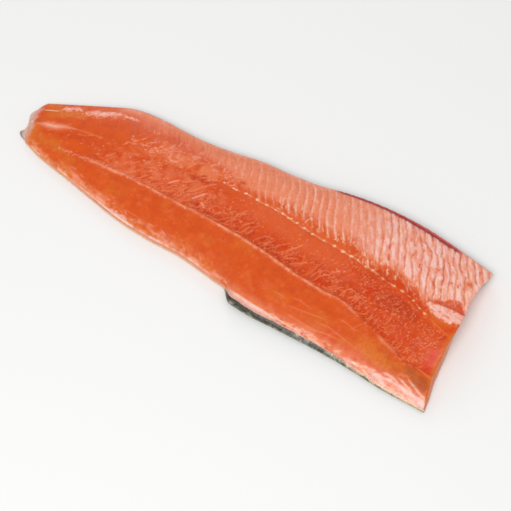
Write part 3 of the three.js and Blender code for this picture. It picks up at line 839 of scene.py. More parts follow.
tailLook = {
    "spots": [
        ("gold", -184, -24, 22, 8, 4, 0.65, 0.4, 1.1), ("gold", -182, 12, 30, 7, 28, 0.6, 0.5, 1.0),
        ("crimson", -207.5, -3, 2.4, 1.4, 80, 0.45, 0.3), ("membrane", -202, -8, 4, 2.4, 40, 0.5, 0.4),
        ("blood", -168, -8, 16, 3.5, 15, 0.3, 0.5),
    ],
    "marks": [
        ("bloom", tailMiddle, 3.4, 0.75, 0.5),
        ("pale", tailMiddle, 2.4, 0.48, 0.5),
        ("cream", tailMiddle[1:5], 0.9, 0.3, 0.5),
        ("fibre", [(-180, -4), (-166, 0), (-150, 2), (-138, 3)], 0.8, 0.4),
        ("cream", [(-206, 3), (-199, 6.5), (-192, 9)], 0.55, 0.6),
        ("cream", [(-208, -12.2), (-207, -11.4)], 1.1, 1.0, 0.2),
    ],
    "strands": [
        (50, ("fibre",), beside(-196, -120, pinBoneLine, -2, 6), (32, 12), (1.5, 5), (0.38, 0.45),
         (0.3, 0.8), 40),
    ],
}


def paintTail():
    toCut = planX - tailCut(planY)
    thin = (1 - ease(toCut + 1.2 * mottled(3, 91), 1.0, 6.0)) * (1 - ease(planY, 2, 7))
    lay("silver", 0.9 * thin * ease(planY, -34, -26))
    lay("gold", 0.85 * (1 - ease(toCut, 4, 16)) * (1 - ease(planY, -16, -8)))
    lay("gold", 0.6 * (1 - ease(toCut, 6, 20)) * ease(planY, 4, 10))
    drawListed(tailLook, np.random.default_rng(16))


# The dark blood line along the back, and the thin lip of meat outside it
def paintCleft():
    fromCleft = planY - (onBack - cleftInset(planX))
    run = within(planX, 52, 178, 10)
    width = through((50, 1.1), (80, 1.6), (120, 2.1), (160, 2.0), (178, 1.0))(planX)
    lay("vein", bell(fromCleft, width) * run)
    clear(("seamPale", "seamDeep", "fat", "cream"), ease(fromCleft, -1.2, -0.4) * run)
    lay("crimson", 0.85 * ease(fromCleft, 0, 1.2) * run * (1 - 0.6 * ease(planY - onBack, -1.2, -0.2)))
    lay("vein", 0.9 * bell(onBack - planY, 1.2) * within(planX, 50, 84, 10))
    lay("vein", 0.45 * bell(onBack - planY, 0.5) * ease(planX, 150, 172))


relief = {
    "blocks": (0.12, 0.62),  # how far the blocks of muscle swell, by the tail and by the head
    "torn": 0.62,
    # what each tissue stands above the broad form
    "tissues": {"fibre": 0.26, "cream": 0.16, "seamPale": 0.1, "seamDeep": -0.28},
    "blood": -0.6,
    "ribLip": 0.5,
    "pinGroove": -0.4,
    "cleft": -0.4,
    "fatRidge": 0.9,
    "wedge": -0.8,
    "edgeDrop": -0.55,
    "edgeRadius": 0.7,
}


# How far each spot of the chart stands above or below the broad form
def makeRelief():
    loin = ease(planY - onPin, 3, 12)
    count = seamCount(planX, planY)
    between = np.abs(count - np.round(count)) * 2  # 0 on a seam, 1 half way
    rough = 0.75 * mottled(4.5, 101) + 0.5 * mottled(2.2, 102) + 0.25 * mottled(1.1, 103)
    heights = (1 - (1 - between) ** 3) * loin * mix(*relief["blocks"], ease(planX, -70, 110))
    heights += 0.16 * mottled(14, 104) + 0.05 * mottled(3.5, 105)
    heights += 0.08 * cloud(planX + fillet["muscleLean"] * planY, planY / 6, 1.4, 106) * loin
    heights += relief["torn"] * rough * chart["torn"]
    for name, height in relief["tissues"].items():
        heights += height * chart[name]
    heights += relief["blood"] * chart["blood"] * np.clip(chart["torn"] * 1.4, 0.15, 1)
    heights += relief["ribLip"] * bell(planY - onRib + 0.3, 1.5) * within(planX, -160, 150, 30)
    heights += relief["pinGroove"] * bell(planY - onPin, 1.6) * within(planX, -60, 190, 30)
    fromCleft = planY - (onBack - cleftInset(planX))
    heights += relief["cleft"] * bell(fromCleft, 1.3) * within(planX, 52, 176, 16)
    low, top = fatLow(planX), fatTop(planX)
    heights += relief["fatRidge"] * within(planY, low - 1, top + 1, 2.2) * ease(planX, 172, 180)
    heights += relief["wedge"] * within(planY, top, wedgeTop(planX), 3) * ease(planX, 176, 188)
    # the knife left the edges slightly rounded
    for inward in (planY - onBelly, onBack - planY, headCut(planY) - planX, planX - tailCut(planY)):
        heights += relief["edgeDrop"] * np.exp(-np.maximum(inward, 0) / relief["edgeRadius"])
    return heights


print("painting the chart of the cut face")
for paint in (paintLoin, paintBand, paintPinBones, paintFlap, paintTail, paintHeadEnd, paintCleft):
    paint()
chart["relief"] = makeRelief()


def sampleChart(name, x, y):
    u = np.clip((x - chartX[0]) / chartStep, 0, len(chartX) - 1.001)
    v = np.clip((y - chartY[0]) / chartStep, 0, len(chartY) - 1.001)
    i, j = u.astype(int), v.astype(int)
    u, v = u - i, v - j
    layer = chart[name]
    return mix(mix(layer[j, i], layer[j, i + 1], u), mix(layer[j + 1, i], layer[j + 1, i + 1], u), v)


def faceHeight(x, y):
    return broadHeight(x, y) + sampleChart("relief", x, y)


def makePiece(name, points, faces, layers, material, sharpAbove=None):
    mesh = bpy.data.meshes.new(name)
    mesh.from_pydata((np.asarray(points) * millimetre).tolist(), [], faces)
    for layer, values in layers.items():
        mesh.attributes.new(layer, "FLOAT", "POINT").data.foreach_set("value", np.asarray(values, np.float32))
    mesh.materials.append(material)
    mesh.shade_smooth()
    if sharpAbove:
        mesh.set_sharp_from_angle(angle=math.radians(sharpAbove))
    piece = bpy.data.objects.new(name, mesh)
    bpy.context.scene.collection.objects.link(piece)
    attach(piece, "root")
    return piece


def grid(rows, columns, ends=(0, 1), sides=(0, 1)):
    return np.meshgrid(np.linspace(*ends, rows), np.linspace(*sides, columns), indexing="ij")


# Faces of a grid of point numbers, wound so that they look up where rows run along x and columns along y
def gridFaces(numbers, up=True):
    a, b = numbers[:-1, :-1], numbers[1:, :-1]
    c, d = numbers[1:, 1:], numbers[:-1, 1:]
    corners = (a, b, c, d) if up else (a, d, c, b)
    return np.stack([corner.ravel() for corner in corners], -1).tolist()


# Triangles between two lines of points that start and end together, upper on the left of lower
def joinLines(upper, lower):
    faces = []
    i, j = 0, 0
    while i < len(upper) - 1 or j < len(lower) - 1:
        nextUpper = (i + 1) / (len(upper) - 1)
        nextLower = (j + 1) / (len(lower) - 1)
        if j == len(lower) - 1 or (i < len(upper) - 1 and nextUpper <= nextLower):
            faces.append((upper[i], lower[j], upper[i + 1]))
            i += 1
        else:
            faces.append((upper[i], lower[j], lower[j + 1]))
            j += 1
    return faces


# The four sides of a grid of point numbers, in turn round it: belly, head, back, tail
def sidesOf(numbers):
    return [numbers[:, 0], numbers[-1, :], numbers[::-1, -1], numbers[0, ::-1]]


fleshBody = {
    "rows": 664,
    "columns": 226,
    "wallRings": 22,
    "wallSwell": 0.35,
    "underRows": 70,
    "underColumns": 26,
    # the coarse sheet under the flesh ends this near the rim, as shares of its length and width
    "underEnds": (0.012, 0.988),
    "underSides": (0.04, 0.96),
}


# Where points of the cut face lie: share 0 to 1 from tail to head, across 0 to 1 from belly to back
def facePoint(share, across):
    x = mix(-205, 206, share) + 0 * across
    for sweep in range(10):
        y = mix(bellyEdge(x), backEdge(x), across)
        x = mix(tailCut(y), headCut(y), share)
    return x, y


def fleshUnder(share, around):
    return hullPoint(share + 0 * around, around + 0 * share, fillet["fleshOverSkin"], tailCut)


# The rim of the under side, in the order that sidesOf has, spaced as the edge of the cut face is
def wallFeet():
    along = np.linspace(0, 1, fleshBody["rows"])
    rounds = np.linspace(0, 1, 400)
    feet = []
    for share, around in ((along, 1.0), (1.0, rounds), (along[::-1], 0.0), (0.0, rounds)):
        if around is rounds:
            steps = np.linalg.norm(np.diff(fleshUnder(share, rounds), axis=0), axis=1)
            length = np.concatenate([[0], np.cumsum(steps)])
            around = np.interp(np.linspace(0, 1, fleshBody["columns"]), length / length[-1], rounds)
            around = around[::-1] if share else around
        feet.append(fleshUnder(share, around)[:-1])
    return feet


# On the cut across the fish the seams are rings round the middle of the loin
def faceSeams(place, sideOf):
    y, z = place[:, 1], place[:, 2]
    loin = np.hypot((y - 30) / 1.5, z - 8)
    belly = np.hypot((y + 30) / 2.6, z - 22)
    distance = np.where(y > 2, loin, belly) + 2.2 * cloud(y, z, 9, 112) + 0.7 * cloud(y, z, 3, 114)
    phase = np.abs((distance / 5) % 1 - 0.5) * 5
    return np.where(sideOf == 1, bell(phase, 0.5) * ease(cloud(y, z, 5, 115), -0.6, 0.5), 0)


# The tissues that show on the walls, down 0 to 1 from the cut face to the foot
def sideLook(place, sideOf, down, seams):
    x, y, z = place.T
    belly, head, back, tail = (sideOf == k for k in range(4))
    patches = 0.8 + 0.3 * cloud(x + y, z, 4, 113)
    flap = pastNotch(x)
    headGold = (1 - ease(y, -12, 4)) * (0.5 + 0.3 * cloud(y, z, 6, 116))
    bellyFat = np.maximum(0.9 * flap, ease(down, 0.45, 0.85) * 0.8)
    return {
        "gold": np.select([head, tail, belly], [headGold, 0.5, 0.7 * (1 - flap)], 0),
        "bloom": np.select([head, back], [mix(0.14 * patches, 0.6, ease(y, -4, 20)), 0.7], 0.3),
        "fibre": np.where(head, 0.2 * (1 - ease(y, -8, 10)), 0),
        "pale": np.select([head, belly], [0.5 * ease(y, 4, 26) * patches, 0.3 * (1 - flap)], 0.45),
        "seamPale": 0.4 * seams * ease(y, -12, 6),
        "fat": np.select([belly, head], [bellyFat, ease(down, 0.8, 1) * ease(y, -30, 6)], 0),
        "darkSkin": belly * flap * ease(down, 0.15, 0.4) * (1 - ease(x, 90, 130)) * ease(patches, 0.7, 1),
        "silver": 0.9 * tail,
    }


def makeFlesh(material):
    rows, columns = fleshBody["rows"], fleshBody["columns"]
    x, y = facePoint(*grid(rows, columns))
    points = [np.stack([x, y, faceHeight(x, y)], -1).reshape(-1, 3)]
    layers = {name: [sampleChart(name, x, y).ravel()] for name in tissues}
    face = np.arange(rows * columns).reshape(rows, columns)
    faces = gridFaces(face)

    # under side, a coarse sheet just inside the rim of the walls
    size = fleshBody["underRows"], fleshBody["underColumns"]
    underShare, underAround = grid(*size, fleshBody["underEnds"], fleshBody["underSides"])
    points.append(fleshUnder(underShare, underAround).reshape(-1, 3))
    under = (face.size + np.arange(underShare.size).reshape(underShare.shape))[:, ::-1]
    faces += gridFaces(under, up=False)
    used = face.size + under.size
    for name in tissues:
        layers[name].append(np.zeros(under.size))

    # walls, in rings from the edge of the cut face down to the rim of the under side
    feet = wallFeet()
    foot = np.concatenate(feet)
    sideOf = np.concatenate([np.full(len(part), k) for k, part in enumerate(feet)])
    rim = np.concatenate([side[:-1] for side in sidesOf(face)])
    top = points[0][rim]
    outward = np.roll(foot, -1, 0) - np.roll(foot, 1, 0)
    outward = np.stack([outward[:, 1], -outward[:, 0], 0 * outward[:, 0]], -1)
    outward /= np.linalg.norm(outward, axis=1)[:, None] + 1e-9
    upper = rim
    for ring in range(1, fleshBody["wallRings"] + 1):
        down = ring / fleshBody["wallRings"]
        place = mix(top, foot, down)
        seams = faceSeams(place, sideOf)
        swell = 1 + 0.8 * cloud(place[:, 0] + place[:, 1], place[:, 2], 5, 111)
        swell = fleshBody["wallSwell"] * math.sin(pi * down) * swell
        if down < 1:
            place = place + outward * (swell - 0.25 * seams)[:, None]
        points.append(place)
        lower = used + np.arange(len(place))
        used += len(place)
        faces += np.stack([upper, lower, np.roll(lower, -1), np.roll(upper, -1)], -1).tolist()
        upper = lower
        side = sideLook(place, sideOf, down, seams)
        for name in tissues:
            edge = sampleChart(name, top[:, 0], top[:, 1])
            layers[name].append(mix(edge, side.get(name, 0 * edge), ease(down, 0.0, 0.3)))

    closed = np.append(upper, upper[0])
    starts = np.cumsum([0] + [len(part) for part in feet])
    for start, end, coarse in zip(starts[:-1], starts[1:], sidesOf(under)):
        faces += joinLines(closed[start:end + 1].tolist(), coarse.tolist())
    layers = {name: np.concatenate(parts) for name, parts in layers.items()}
    return makePiece("fleshBody", np.concatenate(points), faces, layers, material)


skinShape = {
    "rows": 440,
    "columns": 168,
    "innerRows": 90,
    "innerColumns": 34,
    "scalePitch": 3.0,
    "scaleHeight": 0.12,
    "pressed": 0.15,  # the skin between the scales lies this deep
    "sharpAbove": 50,
}


def makeSkin(material):
    rows, columns = skinShape["rows"], skinShape["columns"]
    share, around = grid(rows, columns)
    outer = hullPoint(share, around, 0.0, skinTail)
    length = np.linalg.norm(np.diff(outer, axis=1), axis=2)
    across = np.concatenate([np.zeros((rows, 1)), np.cumsum(length, axis=1)], axis=1)
    fromRim = np.minimum(across, across[:, -1:] - across)
    # scales in rows that run aslant, each one's hind edge standing over the next
    u, v = outer[..., 0] / skinShape["scalePitch"], across / skinShape["scalePitch"]
    row = np.floor(v)
    along = (u + 0.5 * (row % 2)) % 1
    scales = (1 - along) * np.sin(pi * (v - row)) * skinShape["scaleHeight"]
    scaled = ease(outer[..., 2], 0.3, 1.5) * ease(fromRim, 0.3, 1.5)
    pressed = hullPoint(share, around, skinShape["pressed"], skinTail)
    outer = mix(outer, pressed, (scaled * (1 - scales / skinShape["scaleHeight"]))[..., None])
    innerShare, innerAround = grid(skinShape["innerRows"], skinShape["innerColumns"])
    inner = hullPoint(innerShare, innerAround, fillet["skinThickness"], skinTail)
    outerNumbers = np.arange(share.size).reshape(share.shape)
    innerNumbers = share.size + np.arange(innerShare.size).reshape(innerShare.shape)
    faces = gridFaces(outerNumbers) + gridFaces(innerNumbers, up=False)
    for fine, coarse in zip(sidesOf(outerNumbers), sidesOf(innerNumbers)):
        faces += joinLines(coarse.tolist(), fine.tolist())
    points = np.concatenate([outer.reshape(-1, 3), inner.reshape(-1, 3)])
    fromBack = np.concatenate([across.ravel(), mix(0, 160, innerAround).ravel()])
    fromBelly = np.concatenate([(across[:, -1:] - across).ravel(), mix(160, 0, innerAround).ravel()])
    layers = skinLayers(*points.T[:2], fromBack, fromBelly)
    return makePiece("fishSkin", points, faces, layers, material, skinShape["sharpAbove"])


# Where each zone of the skin's colour shows, from the distances to the back's rim and the belly's rim
def skinLayers(x, y, fromBack, fromBelly):
    flap = ease(x, fillet["notchX"] - 2, fillet["notchX"] + 8)
    toTail = x - tailCut(y)
    # near the notch the rim is nearly black, past it only in patches
    notchDark = within(x, 14, 98, 12) * (1 - ease(fromBelly + 1.6 * cloud(x, fromBelly, 3, 124), 2.4, 5.6))
    notchDark = np.maximum(notchDark, bell(np.hypot(x - 71, (fromBelly - 2) * 1.6), 3.2))
    patchy = ease(cloud(x, 0 * y, 5, 125) + 0.5 * cloud(x, fromBelly, 2, 128), -0.5, 0.2) * ease(x, 80, 90)
    patchy = patchy * (1 - ease(fromBelly + 1.6 * cloud(x, 0 * y, 4, 123), 1.4, 4.5))
    patchy = patchy * (1 - ease(x, 150, 190))
    flecks = ease(cloud(x, fromBelly, 2.4, 126) + 0.7 * cloud(x, fromBelly, 1.1, 127), 0.35, 0.9)
    flecks = flecks * flap * mix(0.7, 1, ease(x, 90, 110)) * (1 - notchDark) * (1 - ease(fromBelly, 20, 36))
    # the rim is pale along the back towards the tail, and where loose fat hangs over it by the head
    thinning = 1 - ease(x, -130, 60)
    backRimPale = 1 - ease(fromBack + 0.5 * cloud(x, y, 5, 129), 0.3 + 0.9 * thinning, 0.9 + 1.8 * thinning)
    overhang = ease(x, 118, 165) * (1 - ease(fromBelly + 0.9 * cloud(x, 0 * y, 7, 130), 1.6, 3.0))
    rims = (
        (1 - ease(fromBelly, 1.6, 3.2)) * (1 - flap), backRimPale * mix(0.45, 0.9, thinning),
        0.8 * ease(x - headCut(y), -3.5, -1.5) * ease(y, -68, -62), 0.85 * overhang)
    return {
        "backColour": 1 - ease(fromBack + 4 * cloud(x, y, 9, 121), 14, 44),
        "olive": flap * (1 - ease(fromBelly + 1.6 * cloud(x, fromBelly, 4, 122), 14, 30)),
        "flecks": flecks,
        "dark": 0.92 * flap * np.maximum(notchDark, patchy),
        "rim": np.max(rims, axis=0),
        "clear": np.maximum((1 - ease(fromBelly, 3, 6)) * (1 - flap), 1 - ease(toTail, -2, 4)),
        "tailTip": 1 - ease(toTail, -3.5, 1.5),
        "tailPoint": (1 - ease(toTail, -5.5, -2.5)) * (1 - ease(y, -23, -19)),
        "bellySilver": 1 - ease(fromBelly, 20, 60),
    }


# Tapered round strands, joined in one mesh
def tubes(paths, sides):
    points, faces = [], []
    used = 0
    turns = np.arange(sides) * 2 * pi / sides
    for path, radii in paths:
        path = np.array(path, float)
        heading = np.gradient(path, axis=0)
        heading /= np.linalg.norm(heading, axis=1)[:, None]
        side = np.cross(heading, [0, 0, 1.0])
        side /= np.linalg.norm(side, axis=1)[:, None] + 1e-9
        rise = np.cross(side, heading)
        ring = np.cos(turns)[None, :, None] * side[:, None] + np.sin(turns)[None, :, None] * rise[:, None]
        points.append((path[:, None] + ring * np.array(radii)[:, None, None]).reshape(-1, 3))
        numbers = used + np.arange(len(path) * sides).reshape(len(path), sides)
        following = np.roll(numbers, -1, 1)
        quads = np.stack([numbers[:-1], numbers[1:], following[1:], following[:-1]], -1).reshape(-1, 4)
        faces += quads.tolist() + [numbers[0].tolist(), numbers[-1][::-1].tolist()]
        used += numbers.size
    return np.concatenate(points), faces


def makePinBones(material):
    rng = np.random.default_rng(17)
    paths = []
    for x in pinBoneLook["stations"]:
        y = at(pinBoneLine, x) + at(pinWave, x)
        foot = float(faceHeight(x, y)) + pinBoneLook["tipFoot"]
        lean = rng.uniform(0.5, 1.1) * pinBoneLook["tipLength"] * 0.6
        path, radii = [], []
        for along in (0, 0.25, 0.5, 0.75, 0.92, 1):
            height = foot + pinBoneLook["tipRise"] * along
            path.append((x + lean * along - 0.6, y + rng.uniform(-0.05, 0.05), height))
            radii.append(pinBoneLook["tipRadius"] * (1 - 0.45 * along) * (0.45 if along == 1 else 1))
        paths.append((path, radii))
    points, faces = tubes(paths, pinBoneLook["tipSides"])
    return makePiece("pinBones", points, faces, {}, material)


tornFibres = {"count": 110, "radius": (0.24, 0.36), "length": (1.5, 3.6), "points": 8, "sides": 6}


def makeTornFibres(material):
    rng = np.random.default_rng(18)
    along = np.linspace(0, 1, tornFibres["points"])
    paths = []
    while len(paths) < tornFibres["count"]:
        x = 203 - 290 * rng.uniform(0, 1) ** 1.2
        across = rng.uniform(0.05, 0.95)
        y = mix(at(ribLine, x), at(pinBoneLine, x), across)
        if x < 90 and across > 0.55 and rng.uniform() < 0.75:
            continue
        heading = at(ribHeading, x) + rng.normal(0, 45)
        length = rng.uniform(*tornFibres["length"])
        plan = np.array(strand(x, y, heading, length, rng.uniform(-80, 80), tornFibres["points"]))
        # none hangs over the cut or lies on the smooth spot beside it
        if plan[:, 0].max() > (194 if y < -24 else 205):
            continue
        ground = faceHeight(plan[:, 0], plan[:, 1])
        ground = np.maximum(ground, np.convolve(np.pad(ground, 1, "edge"), [0.25, 0.5, 0.25], "valid"))
        radius = rng.uniform(*tornFibres["radius"])
        lift = np.sin(pi * along) * rng.uniform(0.0, 0.2) - 0.6 * radius
        radii = radius * (0.35 + 0.65 * np.sin(pi * np.clip(along, 0.04, 0.96)))
        paths.append((np.column_stack([plan, ground + lift]), radii))
    points, faces = tubes(paths, tornFibres["sides"])
    tone = np.repeat(rng.uniform(0, 1, len(paths)), tornFibres["points"] * tornFibres["sides"])
    return makePiece("tornFibres", points, faces, {"tone": tone}, material)


rgb = {"data_type": "RGBA"}


# Puts each zone's two shades over the ones before it, where the mesh's layer of that name shows
def overlay(tree, blend, shade, zones):
    for zone, light, deep in zones:
        mask = addNode(tree, "Attribute", {"attribute_name": zone}, {})
        tone = addNode(tree, "Mix", rgb, {0: blend, 6: linear(light), 7: linear(deep)})
        shade = addNode(tree, "Mix", rgb, {0: mask.outputs["Fac"], 6: shade, 7: tone.outputs[2]}).outputs[2]
    return shade


# Raw salmon meat, cut with a knife and torn where the ribs came off: wet, slightly see-through, so it
# scatters red light and keeps a soft wet gloss. Each tissue has two shades that a fine noise mixes.
fleshLook = {
    "lean": ("#db5610", "#d04a0a"),
    "tissues": [
        ("torn", "#d0430c", "#c43408"),
        ("redMeat", "#da3c12", "#ce2e08"),
        ("gold", "#dc7a26", "#d46c1c"),
        ("bloom", "#ee9066", "#e97c4e"),
        ("pale", "#f9b4a0", "#f3a28a"),
        ("seamPale", "#fbc8b6", "#f5ae94"),
        ("seamDeep", "#cf501c", "#c24515"),
        ("blood", "#b02c08", "#b93609"),
        ("crimson", "#d85a50", "#ce4a40"),
        ("vein", "#a01526", "#8c0f22"),
        ("fibre", "#f08a5a", "#ee7844"),
        ("amber", "#b5480c", "#ab3f08"),
        ("silver", "#dcaa9c", "#d39a86"),
        ("membrane", "#bf6430", "#b0501e"),
        ("fat", "#fad2ca", "#f4bcb2"),
        ("cream", "#fbe8c8", "#f5cea6"),
        ("darkSkin", "#3a3626", "#4e4434"),
    ],
    "fibrePitch": 2.2,
    "patchSize": 9.0,
    "tornPitch": 3.6,
    "grainSize": 0.9,
    "crest": "#f39468",
    "pit": "#b53208",
}


def makeFleshMaterial():
    material, tree = newMaterial("rawSalmonMeatCut")
    place = addNode(tree, "TexCoord", {}, {}).outputs["Object"]
    fine = addNode(tree, "TexNoise", {}, {
        "Vector": place, "Scale": 1000 / fleshLook["fibrePitch"], "Detail": 3.0, "Roughness": 0.6})
    patches = addNode(tree, "TexNoise", {}, {
        "Vector": place, "Scale": 1000 / fleshLook["patchSize"], "Detail": 3.0}).outputs["Fac"]
    blend = addNode(tree, "MapRange", {}, {"Value": fine.outputs["Fac"], "From Min": 0.35, "From Max": 0.65})
    wide = addNode(tree, "MapRange", {}, {"Value": patches, "From Min": 0.3, "From Max": 0.7})
    light, deep = fleshLook["lean"]
    lean = addNode(tree, "Mix", rgb, {0: wide.outputs["Result"], 6: linear(light), 7: linear(deep)})
    shade = overlay(tree, blend.outputs["Result"], lean.outputs[2], fleshLook["tissues"])
    torn = addNode(tree, "Attribute", {"attribute_name": "torn"}, {}).outputs["Fac"]

    # the finest torn fibres: winding lines where a drawn-out noise crosses its middle value
    turned = addNode(tree, "Mapping", {}, {
        "Vector": place, "Rotation": (0, 0, math.radians(-48)), "Scale": (1.0, 2.0, 1.4)})
    winding = addNode(tree, "TexNoise", {}, {
        "Vector": turned.outputs["Vector"], "Scale": 1000 / fleshLook["tornPitch"], "Detail": 3.0,
        "Roughness": 0.55, "Distortion": 1.4}).outputs["Fac"]
    centred = addNode(tree, "Math", {"operation": "SUBTRACT"}, {0: winding, 1: 0.5})
    away = addNode(tree, "Math", {"operation": "ABSOLUTE"}, {0: centred.outputs[0]})
    crest = addNode(tree, "MapRange", {}, {
        "Value": away.outputs[0], "From Min": 0.006, "From Max": 0.03, "To Min": 1.0, "To Max": 0.0})
    patchy = addNode(tree, "MapRange", {}, {"Value": patches, "From Min": 0.4, "From Max": 0.6})
    pit = addNode(tree, "MapRange", {}, {"Value": winding, "From Min": 0.46, "From Max": 0.36})
    crestHere = crest.outputs["Result"]
    for factor in (patchy.outputs["Result"], torn):
        crestHere = addNode(tree, "Math", {"operation": "MULTIPLY"}, {0: crestHere, 1: factor}).outputs[0]
    pitHere = addNode(tree, "Math", {"operation": "MULTIPLY"}, {0: pit.outputs["Result"], 1: torn}).outputs[0]
    for where, strength, colour in ((pitHere, 0.45, fleshLook["pit"]), (crestHere, 0.7, fleshLook["crest"])):
        weak = addNode(tree, "Math", {"operation": "MULTIPLY"}, {0: where, 1: strength})
        shade = addNode(tree, "Mix", rgb, {0: weak.outputs[0], 6: shade, 7: linear(colour)}).outputs[2]

    # torn meat is rougher than cut meat, and holds less of the wet film
    rough, shine, film = (
        addNode(tree, "MapRange", {}, {"Value": torn, "To Min": cut, "To Max": ragged}).outputs["Result"]
        for cut, ragged in ((0.32, 0.4), (0.5, 0.22), (0.12, 0.04)))
    grain = addNode(tree, "TexNoise", {}, {
        "Vector": place, "Scale": 1000 / fleshLook["grainSize"], "Detail": 4.0, "Roughness": 0.65})
    raised = addNode(tree, "Math", {"operation": "MULTIPLY_ADD"}, {
        0: crestHere, 1: 1.2, 2: grain.outputs["Fac"]})
    bump = addNode(tree, "Bump", {}, {"Height": raised.outputs[0], "Distance": 0.00025, "Strength": 0.5})
    surface = addNode(tree, "BsdfPrincipled", {}, {
        "Base Color": shade, "Roughness": rough, "IOR": 1.34, "Specular IOR Level": shine,
        "Normal": bump.outputs["Normal"], "Subsurface Weight": 0.12, "Subsurface Radius": (1.0, 0.35, 0.2),
        "Subsurface Scale": 0.002, "Coat Weight": film, "Coat Roughness": 0.14, "Coat IOR": 1.33})
    addNode(tree, "OutputMaterial", {}, {"Surface": surface.outputs["BSDF"]})
    return material


# Salmon skin with its scales on, rinsed: silvery under a wet film, so it is glossy and slightly
# metallic, olive grey with black specks on the side and dark blue grey on the back
skinLook = {
    "silver": ("#c2c4bc", "#a6a9a2"),
    "zones": [
        ("bellySilver", "#e6dfd6", "#d3cbc1"),
        ("backColour", "#46545a", "#323c40"),
        ("olive", "#8b8d7c", "#606254"),
        ("flecks", "#d2cab0", "#aca690"),
        ("dark", "#3d2f1e", "#20180f"),
        ("rim", "#eec8a8", "#dfae8a"),
        ("tailTip", "#ecc4b8", "#dfb0a2"),
        ("tailPoint", "#a3a69c", "#4c504b"),
    ],
    "black": "#26241c",
    "patchSize": 2.0,
    "speckSize": 1.3,
}


def makeSkinMaterial():
    material, tree = newMaterial("salmonSkinScaled")
    place = addNode(tree, "TexCoord", {}, {}).outputs["Object"]
    patches = addNode(tree, "TexNoise", {}, {
        "Vector": place, "Scale": 1000 / skinLook["patchSize"], "Detail": 4.0, "Roughness": 0.7})
    blend = addNode(tree, "MapRange", {}, {
        "Value": patches.outputs["Fac"], "From Min": 0.35, "From Max": 0.65})
    light, deep = skinLook["silver"]
    base = addNode(tree, "Mix", rgb, {0: blend.outputs["Result"], 6: linear(light), 7: linear(deep)})
    shade = overlay(tree, blend.outputs["Result"], base.outputs[2], skinLook["zones"])
    specks = addNode(tree, "TexNoise", {}, {
        "Vector": place, "Scale": 1000 / skinLook["speckSize"], "Detail": 2.0})
    black = addNode(tree, "MapRange", {}, {
        "Value": specks.outputs["Fac"], "From Min": 0.58, "From Max": 0.68, "To Max": 0.75})
    clean = addNode(tree, "Attribute", {"attribute_name": "clear"}, {})
    speckShare = addNode(tree, "MapRange", {}, {"Value": clean.outputs["Fac"], "To Min": 1.0, "To Max": 0.08})
    blackShare = addNode(tree, "Math", {"operation": "MULTIPLY"}, {
        0: black.outputs["Result"], 1: speckShare.outputs["Result"]})
    speckled = addNode(tree, "Mix", rgb, {0: blackShare.outputs[0], 6: shade, 7: linear(skinLook["black"])})
    cells = addNode(tree, "TexVoronoi", {"feature": "DISTANCE_TO_EDGE"}, {
        "Vector": place, "Scale": 1000 / skinShape["scalePitch"]})
    bump = addNode(tree, "Bump", {}, {
        "Height": cells.outputs["Distance"], "Distance": 0.0004, "Strength": 0.4})
    surface = addNode(tree, "BsdfPrincipled", {}, {
        "Base Color": speckled.outputs[2], "Roughness": 0.32, "Metallic": 0.15, "IOR": 1.45,
        "Normal": bump.outputs["Normal"], "Coat Weight": 0.3, "Coat Roughness": 0.15, "Coat IOR": 1.33})
    addNode(tree, "OutputMaterial", {}, {"Surface": surface.outputs["BSDF"]})
    return material


# Fish bone, cut off flush: dense, off white, a little waxy
boneLook = {"colours": ("#fff3da", "#f3cfae"), "stainSize": 1.1}


def makeBoneMaterial():
    material, tree = newMaterial("fishBoneCut")
    place = addNode(tree, "TexCoord", {}, {}).outputs["Object"]
    stain = addNode(tree, "TexNoise", {}, {
        "Vector": place, "Scale": 1000 / boneLook["stainSize"], "Detail": 2.0})
    light, deep = boneLook["colours"]
    colour = addNode(tree, "Mix", rgb, {0: stain.outputs["Fac"], 6: linear(light), 7: linear(deep)})
    surface = addNode(tree, "BsdfPrincipled", {}, {
        "Base Color": colour.outputs[2], "Roughness": 0.35, "IOR": 1.5, "Coat Weight": 0.2,
        "Coat Roughness": 0.2})
    addNode(tree, "OutputMaterial", {}, {"Surface": surface.outputs["BSDF"]})
    return material


# Loose muscle fibres, torn off and wet: paler than the meat under them because they hold less of it
fibreLook = {"colours": ("#ea6d3c", "#f28f63"), "mottle": "#ec7a4a", "mottleSize": 1.4}


def makeFibreMaterial():
    material, tree = newMaterial("muscleFibreTorn")
    tone = addNode(tree, "Attribute", {"attribute_name": "tone"}, {})
    place = addNode(tree, "TexCoord", {}, {}).outputs["Object"]
    mottle = addNode(tree, "TexNoise", {}, {
        "Vector": place, "Scale": 1000 / fibreLook["mottleSize"], "Detail": 2.0})
    dark, light = fibreLook["colours"]
    warm = addNode(tree, "Mix", rgb, {0: tone.outputs["Fac"], 6: linear(dark), 7: linear(light)})
    colour = addNode(tree, "Mix", rgb, {
        0: mottle.outputs["Fac"], 6: warm.outputs[2], 7: linear(fibreLook["mottle"])})
    surface = addNode(tree, "BsdfPrincipled", {}, {
        "Base Color": colour.outputs[2], "Roughness": 0.35, "IOR": 1.4, "Coat Weight": 0.3,
        "Coat Roughness": 0.2, "Coat IOR": 1.33})
    addNode(tree, "OutputMaterial", {}, {"Surface": surface.outputs["BSDF"]})
    return material


print("making the pieces")
flesh = makeFlesh(makeFleshMaterial())
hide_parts("flesh")
skin = makeSkin(makeSkinMaterial())
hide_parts("skin")
makePinBones(makeBoneMaterial())
makeTornFibres(makeFibreMaterial())


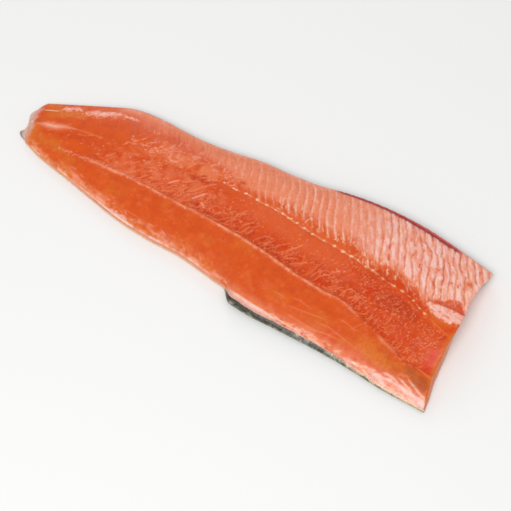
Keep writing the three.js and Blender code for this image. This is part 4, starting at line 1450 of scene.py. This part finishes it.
# Floor, light and camera, in metres, watts and degrees
studio = {
    "floorSize": 14.0,
    "floorColour": "#f2f2f1",
    "skyStrength": 0.6,
    # place, width and power of each lamp
    "lamps": {
        "key": ((0.25, -1.1, 1.75), 1.2, 21.6),
        "rim": ((-0.9, 1.25, 0.75), 0.6, 2.6),
    },
    "target": (0.02941, -0.02570, 0.012),
    "azimuth": 32.0,
    "elevation": 60.0,
    "distance": 1.5,
    "lens": 127.9,
}


def makeStudio():
    scene = bpy.context.scene
    half = studio["floorSize"] / 2
    mesh = bpy.data.meshes.new("floor")
    corners = [(-half, -half, 0), (half, -half, 0), (half, half, 0), (-half, half, 0)]
    mesh.from_pydata(corners, [], [(0, 1, 2, 3)])
    material, tree = newMaterial("paperBackdropMatt")  # seamless paper, with no gloss to mirror the lamps
    surface = addNode(tree, "BsdfPrincipled", {}, {
        "Base Color": linear(studio["floorColour"]), "Roughness": 0.9, "Specular IOR Level": 0.1})
    addNode(tree, "OutputMaterial", {}, {"Surface": surface.outputs["BSDF"]})
    mesh.materials.append(material)
    floor = bpy.data.objects.new("floor", mesh)
    scene.collection.objects.link(floor)

    target = Vector(studio["target"])
    for name, (place, size, power) in studio["lamps"].items():
        lamp = bpy.data.lights.new(name, "AREA")
        lamp.shape = "DISK"
        lamp.size = size
        lamp.energy = power
        holder = bpy.data.objects.new(name, lamp)
        holder.location = place
        holder.rotation_euler = (target - holder.location).to_track_quat("-Z", "Y").to_euler()
        scene.collection.objects.link(holder)
    world = bpy.data.worlds.new("studioSky")
    world.use_nodes = True
    sky = world.node_tree.nodes["Background"]
    sky.inputs["Color"].default_value = (1, 1, 1, 1)
    sky.inputs["Strength"].default_value = studio["skyStrength"]
    scene.world = world
    scene.view_settings.view_transform = "Standard"

    camera = bpy.data.objects.new("camera", bpy.data.cameras.new("camera"))
    turn, tilt = math.radians(studio["azimuth"]), math.radians(studio["elevation"])
    back = Vector((math.sin(turn) * math.cos(tilt), -math.cos(turn) * math.cos(tilt), math.sin(tilt)))
    camera.location = target + back * studio["distance"]
    camera.rotation_euler = back.to_track_quat("Z", "Y").to_euler()
    camera.data.lens = studio["lens"]
    scene.collection.objects.link(camera)
    scene.camera = camera


print("setting the studio")
makeStudio()
